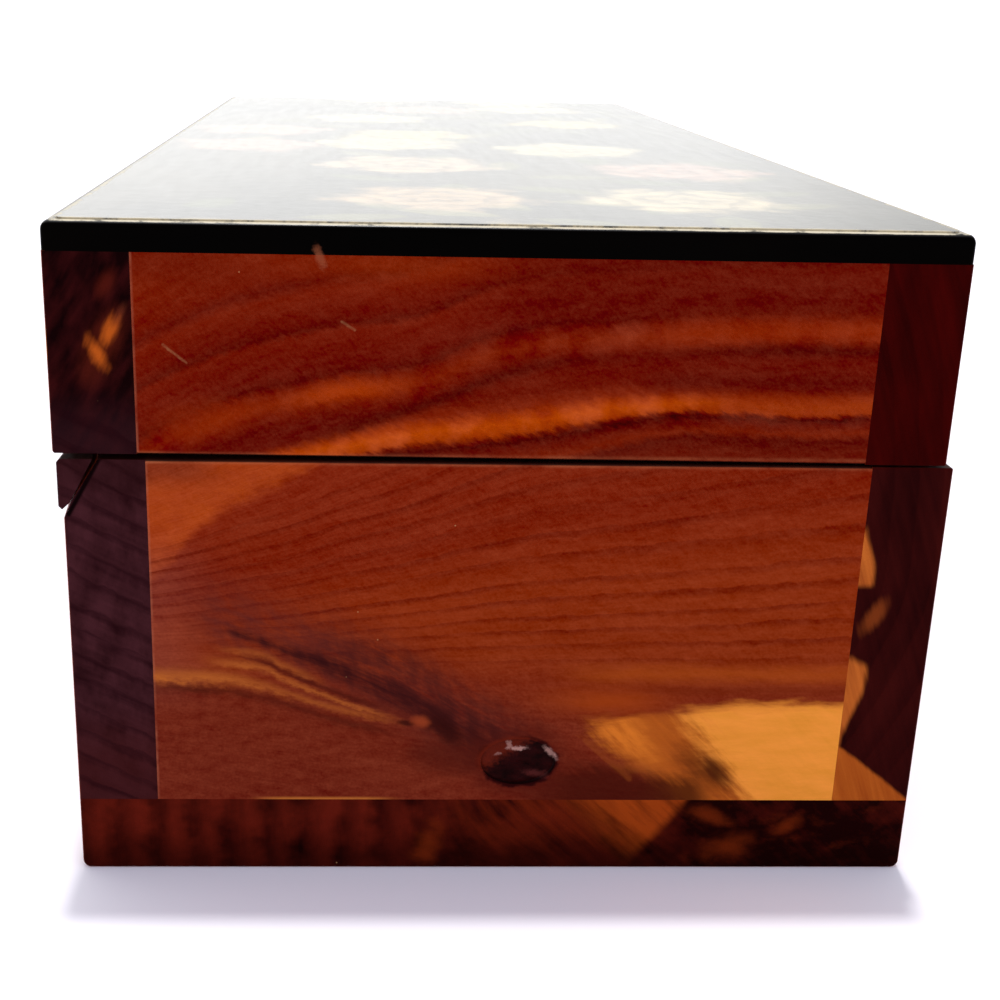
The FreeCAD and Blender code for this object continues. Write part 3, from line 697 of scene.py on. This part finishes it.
def lid_tone(paint, above_streak, feather):
    """Broad colours of the lid: the streak, a dark line over it, and the band above that."""
    back = paint.back
    z = paint.z
    glow = paint.noise(back / 3.5, z / 6.0, 2.2, detail=3.0)
    above_shade = z - paint.path(back, SHADE_PATH) + feather * 0.5
    above_band = z - paint.path(back, BAND_PATH) + feather * 0.8
    low = streak_tone(paint, above_streak, glow)
    high = band_tone(paint, above_band, glow)
    colour = paint.mix(above_shade.step(-0.8, 0.8), low, high)
    clear = back.step(24.0, 34.0) * (1.0 - (back - 64.0).bell(11.0) * 0.7)
    colour = paint.mix(above_shade.bell(0.8) * clear * 0.65, colour, srgb(70, 7, 2))
    corner = (paint.ellipse(back, z, LID_CORNER) + feather * 0.4).step(1.4, 0.2)
    colour = paint.mix(corner * 0.65, colour, srgb(128, 36, 6))
    dusk = z.step(71.0, 75.0) * back.step(26.0, 13.0)
    return paint.mix(dusk * 0.7, colour, srgb(98, 17, 2))


def end_figure(paint, line, flow, colour):
    """Thin dark growth lines in the base, mottling and fibre.

    Gives the colour, the late wood and the fibre.
    """
    back = paint.back
    z = paint.z
    in_base = z.step(RIM + 0.3, RIM)
    broken = paint.noise(back / 5.0, z / 1.5, 3.5, detail=4.0, roughness=0.65)
    year = paint.path(line, YEAR_PATH).part()
    late = year.step(0.5, 0.86) * year.step(1.0, 0.93)
    strong = paint.noise(line / 4.0, back / 22.0, 4.0) * 0.7 + 0.55
    clear = line.step(0.0, 3.0) * line.step(46.0, 40.0) * (back + line).step(16.0, 40.0) * in_base
    colour = paint.mix(late * (strong + broken * 0.7) * clear * 0.75, colour, srgb(96, 18, 3))
    below = (z + back * 0.45).step(36.0, 31.0) * in_base
    faint = ((z - back * 0.22 + broken * 0.8) * (2.0 * math.pi / 2.4)).wave() * below
    colour = paint.tint(colour, WOOD_TINT, faint * 0.16)
    cloud = paint.noise(back / 16.0, flow / 3.2, 5.0, detail=3.0)
    streak = paint.noise(back / 4.0, flow / 0.7, 6.0, detail=3.0, roughness=0.6)
    brush = paint.noise((back + z) / 0.7, (back - z) / 3.0, 7.0, detail=3.0, roughness=0.6)
    mottle = paint.noise(back / 1.3, z / 1.0, 9.0, detail=3.0, roughness=0.6)
    dots = paint.noise(back / 0.32, z / 0.32, 8.0, detail=2.0)
    upper = streak + brush * 0.8 + mottle * 0.7
    lower = streak * 0.4 + brush * 0.2 + mottle * 1.2
    fine = (upper + (lower - upper) * below + dots * 0.8) * (in_base * 0.25 + 0.75)
    colour = paint.tint(colour, WOOD_TINT, cloud * 0.9 + fine)
    return colour, late * clear, streak


def swirl(paint, colour):
    """Pale strands and dark threads that run from the back edge into the knots, in a smoky shade."""
    back = paint.back
    z = paint.z
    thread = z - paint.path(back, THREAD_PATH)
    wisp = paint.noise(back / 9.0, thread / 1.1, 2.0, detail=4.0, roughness=0.65)
    rough = paint.noise(back / 1.4, z / 0.8, 3.0, detail=4.0, roughness=0.65)
    cross = paint.noise((back + z * 0.4) / 1.6, (z - back * 0.4) / 5.0, 4.0, detail=3.0)
    smoke = (thread - 1.2).bell(4.6) * back.step(11.0, 19.0) * back.step(60.0, 48.0)
    colour = paint.mix(smoke * (wisp * 0.6 + cross * 0.5 + 0.62), colour, srgb(84, 32, 27))
    low = z - paint.path(back, LOW_STRAND_PATH) + wisp * 0.4 + rough * 0.7
    high = z - paint.path(back, HIGH_STRAND_PATH) + wisp * 0.4 + rough * 0.7
    reach = back.step(PIN_KNOT[0] - 0.5, PIN_KNOT[0] - 8.0)
    narrow = 1.0 - back.step(14.0, 30.0) * 0.5
    pale = low.bell(narrow * 0.95) * (0.9 - back.step(16.0, 26.0) * 0.4)
    pale = pale.most(high.bell(narrow * 0.75) * back.step(14.0, 20.0) * 0.7)
    fringe = (high - 1.7).bell(0.5) * back.step(16.0, 20.0) * back.step(31.0, 26.0) * 0.45
    strands = pale.most(fringe) * reach * (wisp * 0.6 + rough * 0.7 + 0.85)
    colour = paint.mix(strands, colour, srgb(170, 90, 35))
    under = (low + 1.5).bell(0.6) * reach
    between = (high - 0.95).bell(0.45) * back.step(18.0, 23.0) * reach
    colour = paint.mix(under.most(between) * (wisp * 0.7 + 0.6), colour, srgb(66, 17, 9))
    width = back.step(18.0, 44.0) * 1.9 + 0.5
    core = (thread + rough * 0.5).bell(width) * back.step(17.0, 20.0) * back.step(58.0, 50.0)
    colour = paint.mix(core * (wisp * 1.2 + cross * 0.6 + 0.7), colour, srgb(48, 13, 13))
    halo = (thread - 2.6).bell(3.4) * back.step(24.0, 38.0) * back.step(60.0, 50.0)
    return paint.mix(halo * (wisp * 1.0 + cross * 1.0 + 0.35), colour, srgb(62, 20, 16))


def sapwood_brow(paint, colour, edge):
    """Orange wood over the pale patch, with a dark line in it towards the front."""
    back = paint.back
    z = paint.z
    glow = (z - 26.6 + edge).bell(1.2) * back.step(55.0, 66.0)
    colour = paint.mix(glow * 0.45, colour, srgb(166, 74, 18))
    warm = (z - 23.0 + edge).bell(1.7) * (back - 64.0).bell(7.0)
    colour = paint.mix(warm * 0.75, colour, srgb(150, 58, 13))
    dark = (z - 24.4 + edge * 0.8).bell(0.7) * back.step(63.0, 74.0)
    return paint.mix(dark * 0.5, colour, srgb(104, 32, 8))


def end_sapwood(paint, colour):
    """A pale patch low at the front and a tongue beside it, with a brown eye and a dark foot below."""
    back = paint.back
    z = paint.z
    brush = paint.noise(back * 0.7 + z * 0.7, (back - z) / 9.0, 3.0, detail=4.0, roughness=0.65)
    edge = paint.noise(back / 6.0, z / 1.6, 7.0, detail=4.0, roughness=0.6)
    colour = sapwood_brow(paint, colour, edge)
    top = (z + edge * 1.6 + (80.0 - back).most(0.0) * 0.13).step(23.6, 21.6)
    tint = (back - 61.0 - (22.5 - z) * 0.85 + brush * 3.0).step(-1.5, 3.0) * top
    colour = paint.mix(tint * (0.8 + brush * 0.4), colour, srgb(172, 86, 25))
    main = (back - 71.2 - (22.0 - z) * 0.78 + brush * 3.5 + edge * 1.5).step(-1.6, 3.4) * top
    tongue = paint.ellipse(back, z, TONGUE) + brush * 0.6 + edge * 0.6
    pale = paint.mix(brush.step(-0.2, 0.7) * back.step(86.0, 70.0) * 0.5, SAPWOOD, srgb(172, 90, 26))
    pale = paint.tint(pale, WOOD_TINT, edge * 3.0 + brush * 1.5)
    ochre = paint.mix(brush.step(-0.2, 0.7), srgb(208, 114, 35), srgb(160, 78, 22))
    colour = paint.mix(tongue.step(1.5, 0.1) * top * 0.9, colour, ochre)
    colour = paint.mix(main, colour, pale)
    eye = (paint.ellipse(back, z, EYE) + brush * 0.45 + edge * 0.5).step(1.45, 0.1)
    core = (paint.ellipse(back, z, EYE_CORE) + brush * 0.4).step(1.4, 0.2)
    rise = (back - 62.5).bell(5.0) * 1.7
    foot = (z - 12.6 - rise + brush * 1.4 + edge).step(1.6, -1.4) * (back + z * 0.3).step(81.6, 77.8)
    stain = (foot * back.step(51.0, 61.0) * 0.85).most(eye * 0.7).most(core * 0.92)
    colour = paint.mix(stain, colour, paint.mix(back.step(66.0, 78.0), srgb(62, 14, 7), srgb(64, 25, 8)))
    sliver = paint.stroke(back, z + brush * 0.6, SLIVER_LINE, 0.6)
    return paint.mix(sliver * 0.24, colour, srgb(156, 78, 26))


def glints(paint, colour):
    """Browner wood at the knot hole's upper back side, and painted highlights, pale chips of light, on its
    broken rim.
    """
    back = paint.back
    z = paint.z
    ragged = paint.noise(back / 0.6, z / 0.5, 5.0, detail=4.0, roughness=0.65)
    hole = paint.ellipse(back, z, KNOT_HOLE)
    upper = (z - 15.2 - (back - 51.6) * 0.7 + ragged * 1.6).step(-0.8, 1.2) * hole.step(1.2, 1.0)
    colour = paint.mix(upper * 0.8, colour, srgb(96, 28, 14))
    # Painted highlights where the broken rim of the hole catches the light.
    bar = (paint.ellipse(back, z, GLINT_BAR) + ragged * 1.4).step(1.2, 0.3)
    spike = (paint.ellipse(back, z, GLINT_SPIKE) + ragged * 1.5).step(1.1, 0.3)
    crumb = (paint.ellipse(back, z, GLINT_CRUMB) + ragged * 1.8).step(1.0, 0.3)
    flank = (paint.ellipse(back, z, GLINT_FLANK) + ragged * 0.8).step(1.3, 0.3)
    light = bar.most(spike * 0.6).most(crumb * 0.4).most(flank * 0.9)
    colour = paint.mix(light * 0.8, colour, srgb(178, 134, 122))
    low = (paint.ellipse(back, z, GLINT_LOW) + ragged).step(1.4, 0.3)
    return paint.mix(low * 0.5, colour, srgb(92, 38, 34))


def end_knots(paint, colour):
    """The open knot in a dark stain, with its wall in painted shade and painted highlights on its rim, and
    the pin knot with a crumb of bark in it.
    """
    back = paint.back
    z = paint.z
    pin_back, pin_z = PIN_KNOT
    hole = paint.ellipse(back, z, KNOT_HOLE)
    broad = paint.noise(back / 4.0, z / 3.0, 2.5, detail=4.0, roughness=0.6)
    ragged = paint.noise(back / 1.4, z / 1.4, 2.0, detail=3.0) * 0.3
    smear = (paint.ellipse(back, z, KNOT_SMEAR) + broad * 0.7).step(1.7, 0.2)
    colour = paint.mix(smear * 0.55, colour, srgb(66, 20, 13))
    colour = paint.mix((hole + broad * 0.9).step(2.0, 0.9) * 0.5, colour, srgb(70, 17, 10))
    colour = paint.mix((hole + broad * 0.3 + ragged * 0.5).step(1.14, 0.98), colour, KNOT_DARK)
    before = (paint.ellipse(back, z, (pin_back - 1.7, pin_z - 0.2, 1.0, 0.35, -8)) + ragged).step(1.5, 0.5)
    behind = (paint.ellipse(back, z, (pin_back + 2.6, pin_z - 1.0, 2.8, 1.2, -34)) + broad).step(1.6, 0.2)
    colour = paint.mix(before.most(behind) * 0.75, colour, srgb(44, 10, 7))
    bark = (paint.ellipse(back, z, (pin_back, pin_z, 1.1, 0.8, -15)) + ragged * 1.8).step(1.5, 0.3)
    colour = paint.mix(bark * 0.8, colour, srgb(142, 58, 28))
    # Painted shade: the knot hole's wall is painted near black, so that its lit lower side doesn't show.
    hole_wall_shade = (paint.x - LEFT_FACE).step(0.05, 0.2) * hole.step(1.2, 1.1)
    return glints(paint, paint.mix(hole_wall_shade, colour, srgb(20, 2, 2)))


def end_wear(paint, colour):
    """Light scratches, painted highlights along the rims where the arrises catch the light, and pale wood
    where the panel's joints and lower arris are rubbed.
    """
    back = paint.back
    z = paint.z
    left = left_share(paint)
    skip = paint.noise(back / 0.7, z / 0.7, 6.0, detail=3.0)
    for line in SCRATCHES:
        scratch = paint.stroke(back + skip * 0.2, z, line, 0.22) * (skip * 1.2 + 0.8)
        colour = paint.mix(scratch * left * 0.13, colour, WORN)
    patchy = paint.noise(back / 6.0, z / 6.0, 3.0, detail=4.0, roughness=0.7)
    # Painted highlights: pale lines on the base's top arris and the lid's lower arris, where they catch the
    # light.
    rim = (z - RIM + 0.2).bell(0.22) + (z - RIM - 0.75).bell(0.25) * 0.6
    often = patchy * 0.6 + 0.3 + back.step(15.0, 9.5) * 0.3
    colour = paint.mix(rim * left * often, colour, srgb(176, 100, 62))
    joint = back - WALL + z.step(RIM, RIM + 0.5) * LID_SET_BACK
    colour = paint.mix(joint.step(0.35, 0.1) * left * (patchy + 0.25), colour, srgb(158, 88, 62))
    rubbed = z.step(BOTTOM_HIGH.z + 0.5, BOTTOM_HIGH.z + 0.1) * back.step(20.0, 25.0) * back.step(40.0, 34.0)
    colour = paint.mix(rubbed * left * 0.6, colour, srgb(196, 116, 48))
    return chipped(paint, colour)


def left_end_wood():
    paint = Paint("cedar_left_end")
    line = base_lines(paint)
    slant = paint.z + paint.back * 0.5
    feather = paint.noise(paint.back / 2.4, slant / 0.9, 1.0, detail=4.0, roughness=0.65)
    above_streak = paint.z - paint.path(paint.back, STREAK_PATH) + feather * 0.9
    in_lid = paint.z.step(RIM, RIM + 0.3)
    flow = line + (above_streak - line) * in_lid
    colour = paint.mix(in_lid, base_tone(paint, line), lid_tone(paint, above_streak, feather))
    colour, late, streak = end_figure(paint, line, flow, colour)
    colour = swirl(paint, colour)
    colour = end_sapwood(paint, colour)
    colour = end_knots(paint, colour)
    colour = end_wear(paint, colour)
    return varnished(paint, colour, late, streak)


def right_end_wood():
    """The far end panel: flat-sawn, its grain along Y, with one tight knot."""
    paint = Paint("cedar_right_end")
    sway = paint.noise(paint.y / 50.0, paint.z / 30.0, 21.0)
    push, knot = knots(paint, paint.y, paint.z, [(18.0, 33.0, 4.0)])
    up = paint.z - 30.0 + sway * 6.0
    deep = 34.0 + paint.y * 0.22
    line = (up * up + deep * deep).root() + push
    late = rings(paint, line, 2.8, 4.4)
    grain = fibres(paint, paint.y, paint.z, paint.x, 8.0)
    cloud = paint.noise(paint.y / 40.0, paint.z / 12.0, 25.0)
    streak = paint.noise(paint.y / 90.0, paint.z / 8.0, 31.0).step(0.32, 0.46)
    colour = heartwood(paint, cloud * 0.9 + 0.5, late, grain, streak, knot)
    return varnished(paint, colour, late, grain)


# Lid top

LACQUER_GLOSS = 0.3


def lacquer():
    """Black lacquer, rubbed through to pale wood along the near top arris, bare cedar on the underside."""
    paint = Paint("black_lacquer")
    cloud = paint.noise(paint.x / 30.0, paint.y / 30.0, paint.z / 8.0, detail=3.0)
    colour = paint.mix(cloud * 0.5 + 0.5, srgb(0, 0, 0), srgb(5, 3, 2))
    scuff = paint.noise(paint.x / 2.0, paint.y / 2.0, paint.z / 0.35, detail=4.0, roughness=0.6)
    colour = paint.mix(scuff.step(0.45, 0.7) * 0.16, colour, srgb(96, 62, 40))
    torn = paint.noise(paint.x / 2.5, paint.y / 2.5, paint.z / 2.5, detail=4.0, roughness=0.65)
    edge = paint.z.step(PANEL_HIGH.z - 0.2, PANEL_HIGH.z - 0.06)
    near = paint.x.step(PANEL_LOW.x + 6.0, PANEL_LOW.x + 1.0) * 0.75 + 0.25
    worn = (torn * 1.3 + edge).step(0.45, 1.0) * edge * near
    colour = paint.mix(worn, colour, srgb(206, 196, 168))
    colour = chipped(paint, colour)
    under = paint.facing_z.step(-0.5, -0.9)
    grain = fibres(paint, paint.x, paint.y, paint.z, 17.0)
    colour = paint.mix(under, colour, paint.mix(grain * 0.6 + 0.5, RAW_LIGHT, RAW_DARK))
    rough = worn * 0.4 + under * 0.4 + cloud * 0.06 + LACQUER_GLOSS
    coat = paint.facing_z.step(0.5, 1.0) * 0.8
    return paint.finish(colour, rough, torn, 0.03, BARE_SPECULAR, coat, LACQUER_GLOSS)


GARLAND_SWING = 18.0
GARLAND_LENGTH = 23.0
ROSE_CELL = 34.0
LEAF_CELL = 15.0


def off_garland(middle):
    """How far a flower's or leaf's middle lies from the line that winds along the lid."""
    along, across = middle
    return (across - (along / GARLAND_LENGTH).wave() * GARLAND_SWING).size()


def leaves(paint, colour, brush):
    """Pointed leaves, each turned its own way, thick along the garland and thin beyond it."""
    right, above, middle, chance, turn = paint.scatter(paint.x, paint.y, LEAF_CELL, 5.0, 0.75)
    angle = turn * (2.0 * math.pi)
    along = right * angle.wave() + above * (angle - math.pi / 2).wave()
    off = above * angle.wave() - right * (angle - math.pi / 2).wave()
    outline = (0.2 - along * along * 0.85 - off.size() + brush * 0.03).step(0.0, 0.05)
    vein = off.size().step(0.0, 0.035) * 0.3 + 0.75
    kept = (off_garland(middle) + chance * 26.0).step(46.0, 44.0)
    tint = paint.mix(chance, srgb(92, 98, 62), srgb(138, 132, 88))
    return paint.mix(outline * kept * 0.85, colour, paint.shade(tint, vein + brush * 0.2))


def roses(paint, colour, brush):
    """Full-blown roses along the garland, soft at the edges, their petals rolled one inside another."""
    right, above, middle, chance, turn = paint.scatter(paint.x, paint.y, ROSE_CELL, 2.0, 0.5)
    angle = paint.math("ARCTAN2", above, right)
    distance = (right * right + above * above).root()
    wave = (angle * 5.0 + turn * 6.0).wave()
    outline = (chance * 0.05 + 0.34 + wave * 0.035 + brush * 0.16 - distance).step(-0.05, 0.13)
    roll = (distance * 7.0 + angle / (2.0 * math.pi) + wave * 0.2 + brush * 0.5).part()
    fold = roll.step(0.0, 0.75) * 0.4 + distance * 0.6 + 0.4 + brush * 0.5
    kept = off_garland(middle).step(30.0, 28.0)
    tint = paint.mix(chance.step(0.3, 0.5), srgb(224, 200, 122), srgb(210, 166, 136))
    tint = paint.mix(turn.step(0.55, 0.7), tint, srgb(226, 208, 152))
    return paint.mix(outline * kept * 0.9, colour, paint.shade(tint, fold))


def printed_sheet():
    """A winding garland of roses on a grey-green ground, under gloss varnish with scuffed edges."""
    paint = Paint("varnished_print")
    cloud = paint.noise(paint.x / 45.0, paint.y / 45.0, 3.0, detail=3.0)
    brush = paint.noise(paint.x / 5.0, paint.y / 5.0, 1.0, detail=4.0, roughness=0.6)
    colour = paint.mix(cloud + brush * 0.3 + 0.5, srgb(52, 52, 44), srgb(104, 98, 78))
    colour = leaves(paint, colour, brush)
    colour = roses(paint, colour, brush)
    torn = paint.noise(paint.x / 3.0, paint.y / 3.0, 0.0, detail=4.0, roughness=0.7)
    ends = (paint.x - PRINT_LOW.x).least(PRINT_HIGH.x - paint.x)
    sides = (paint.y - PRINT_LOW.y).least(PRINT_HIGH.y - paint.y)
    rim = ends.least(sides)
    colour = paint.mix(rim.step(0.8, 0.1) * 0.8, colour, srgb(40, 36, 22))
    worn = (torn * 0.8 + rim.step(1.5, 0.2)).step(0.75, 1.1)
    colour = paint.mix(worn * 0.7, colour, srgb(206, 192, 150))
    scuff = paint.noise(paint.x / 14.0, paint.y / 2.0, 5.0, detail=4.0)
    rough = scuff * 0.05 + worn * 0.3 + 0.16
    return paint.finish(colour, rough, torn + cloud * 2.0, 0.02, specular=0.5, coat=0.6, coat_roughness=0.12)


# Metal and floor

def brass():
    paint = Paint("aged_brass")
    cloud = paint.noise(paint.x / 4.0, paint.y / 4.0, paint.z / 4.0, detail=4.0)
    fine = paint.noise(paint.x / 0.4, paint.y / 3.0, paint.z / 0.4, detail=2.0)
    colour = paint.mix(cloud * 0.8 + 0.4, srgb(186, 142, 74), srgb(96, 66, 32))
    return paint.finish(colour, cloud * 0.12 + fine * 0.05 + 0.38, fine, 0.02, metallic=1.0)


def steel():
    paint = Paint("dull_steel")
    cloud = paint.noise(paint.x / 0.6, paint.y / 0.6, paint.z / 0.6, detail=3.0)
    colour = paint.mix(cloud + 0.5, srgb(92, 84, 78), srgb(52, 38, 30))
    return paint.finish(colour, cloud * 0.1 + 0.5, cloud, 0.02, metallic=1.0)


def pale_floor():
    paint = Paint("pale_floor")
    cloud = paint.noise(paint.x / 220.0, paint.y / 220.0, 0.0, detail=3.0)
    colour = paint.mix(cloud * 0.5 + 0.5, srgb(243, 241, 245), srgb(247, 245, 248))
    return paint.finish(colour, cloud * 0.05 + 0.6, cloud, 0.01, specular=0.2)


# Pieces that the solids leave to the scene

# How far the resin reaches into the wood around the hole
RESIN_GRIP = 0.05
# Depth of the resin's face, and the least that it stays below the panel's
RESIN_DEPTH = 0.55
RESIN_LEAST_DEPTH = 0.12
RESIN_HUMPS = 14


def resin_material():
    paint = Paint("knot_resin")
    cloud = paint.noise(paint.x / 0.9, paint.y / 1.4, paint.z / 0.9, detail=4.0)
    # The resin carries the same painted highlights as the wood around the hole.
    colour = glints(paint, paint.mix(cloud * 1.2 + 0.5, srgb(16, 1, 1), srgb(38, 5, 5)))
    return paint.finish(colour, cloud * 0.08 + 0.3, cloud, 0.15, specular=0.02)


def resin_depth(deep, across, up, humps):
    """Depth below the panel's face of a point of the ball that the resin is pressed from."""
    crumple = sum(rise * math.exp(-((across - a) ** 2 + (up - u) ** 2) / 0.05) for a, u, rise in humps)
    swell = deep if deep > 0 else deep * 0.12
    lift = 0.6 if deep < 0.2 else 0.0
    return max(RESIN_DEPTH + swell * 0.9 + crumple * lift, RESIN_LEAST_DEPTH)


def knot_resin(material):
    """A broken, glassy plug of resin and bark left in the knot hole."""
    rng = random.Random(7)
    humps = []
    for _ in range(RESIN_HUMPS):
        humps.append((rng.uniform(-0.9, 0.9), rng.uniform(-0.9, 0.9), rng.uniform(-0.55, 0.55)))
    mesh = bpy.data.meshes.new("knot_resin")
    shape = bmesh.new()
    bmesh.ops.create_icosphere(shape, subdivisions=5, radius=1.0)
    for vertex in shape.verts:
        deep, across, up = vertex.co
        vertex.co = Vector((
            LEFT_FACE + resin_depth(deep, across, up, humps),
            BACK_FACE - KNOT_HOLE[0] - across * (KNOT_HOLE[2] + RESIN_GRIP),
            KNOT_HOLE[1] + up * (KNOT_HOLE[3] + RESIN_GRIP),
        )) * MM
    shape.to_mesh(mesh)
    shape.free()
    piece = bpy.data.objects.new("knot_resin", mesh)
    bpy.context.scene.collection.objects.link(piece)
    mesh.materials.append(material)
    return piece


# Dressing the nodes

def dress(names, material):
    for name in names:
        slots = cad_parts[name].data.materials
        slots.clear()
        slots.append(material)


def dress_box():
    front = board_wood("cedar_front", (58.0, 42.0), (14.0, -6.0), 3.1, 1.0,
                       [(-48.0, -18.0, 5.0), (70.0, 6.0, 3.4)], front_end_grain)
    back = board_wood("cedar_back", (-22.0, 4.0), (-10.0, 8.0), 3.6, 2.0, [(34.0, 88.0, 4.4)], back_end_grain)
    bottom = board_wood("cedar_bottom", (-110.0, 3.0), (9.0, 2.0), 5.2, 3.0, [(-30.0, -12.0, 5.0)],
                        bottom_end_grain)
    dress(["base_front_board", "lid_front_board"], front)
    dress(["base_back_board", "lid_back_board"], back)
    dress(["base_bottom_board"], bottom)
    dress(["base_left_end", "lid_left_end"], left_end_wood())
    dress(["base_right_end", "lid_right_end"], right_end_wood())
    dress(["lid_top_panel"], lacquer())
    dress(["lid_print_sheet"], printed_sheet())
    dress([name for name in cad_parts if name.startswith("hinge_")], brass())
    dress([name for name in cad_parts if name.endswith("_brads")], steel())


dress_box()
resin = knot_resin(resin_material())
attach(resin, "base")


# Stage

FLOOR_SIZE = 40.0
CAMERA_PLACE = Vector((-278.94, 17.42, 101.20)) * MM
CAMERA_TURN = (71.701, -1.166, -91.805)
CAMERA_LENS = 53.06
CAMERA_SHIFT = 0.0879
WINDOW_TILT = 8.2
WINDOW_WIDTH = 3.0
WINDOW_LIGHT = 1.9
SKY_NEAR = (0.87, 0.86, 1.04, 1.0)
SKY_FAR = (1.0, 1.0, 1.0, 1.0)


def add_floor():
    bpy.ops.mesh.primitive_plane_add(size=FLOOR_SIZE)
    floor = bpy.context.object
    floor.name = "floor"
    floor.data.materials.append(pale_floor())


def add_window():
    """A skylight a little behind the middle, which leaves the near end in shade."""
    light = bpy.data.lights.new("window", "SUN")
    light.energy = WINDOW_LIGHT
    light.angle = math.radians(WINDOW_WIDTH)
    lamp = bpy.data.objects.new("window", light)
    bpy.context.scene.collection.objects.link(lamp)
    lamp.rotation_euler = (0.0, math.radians(WINDOW_TILT), 0.0)


def add_world():
    """A white studio: bright behind the box, less so to the right, and faintly blue on the near side."""
    world = bpy.data.worlds.new("studio")
    world.use_nodes = True
    bpy.context.scene.world = world
    nodes = Nodes(world.node_tree)
    place = nodes.node("ShaderNodeTexCoord")
    x, y, z = nodes.split(place.outputs["Generated"])
    turn = y / x.most(0.05)
    glare = turn.step(-0.46, -0.2) * 0.44 + turn.step(-0.1, 0.2) * 0.12 + z.step(0.03, 0.012) * 0.4
    glare = glare + z.step(0.15, 0.07) * 0.12
    behind = x.step(-0.3, 0.3)
    sky = world.node_tree.nodes["Background"]
    nodes.feed(sky.inputs["Color"], nodes.mix(behind, SKY_NEAR, SKY_FAR))
    nodes.feed(sky.inputs["Strength"], 1.0 + behind * (glare - 0.38))


def add_camera():
    camera = bpy.data.cameras.new("camera")
    camera.lens = CAMERA_LENS
    camera.sensor_width = 36.0
    camera.shift_x = CAMERA_SHIFT
    camera.clip_start = 0.01
    stand = bpy.data.objects.new("camera", camera)
    bpy.context.scene.collection.objects.link(stand)
    stand.location = CAMERA_PLACE
    stand.rotation_euler = [math.radians(angle) for angle in CAMERA_TURN]
    bpy.context.scene.camera = stand


add_floor()
add_world()
add_window()
add_camera()
bpy.context.scene.view_settings.view_transform = "Standard"
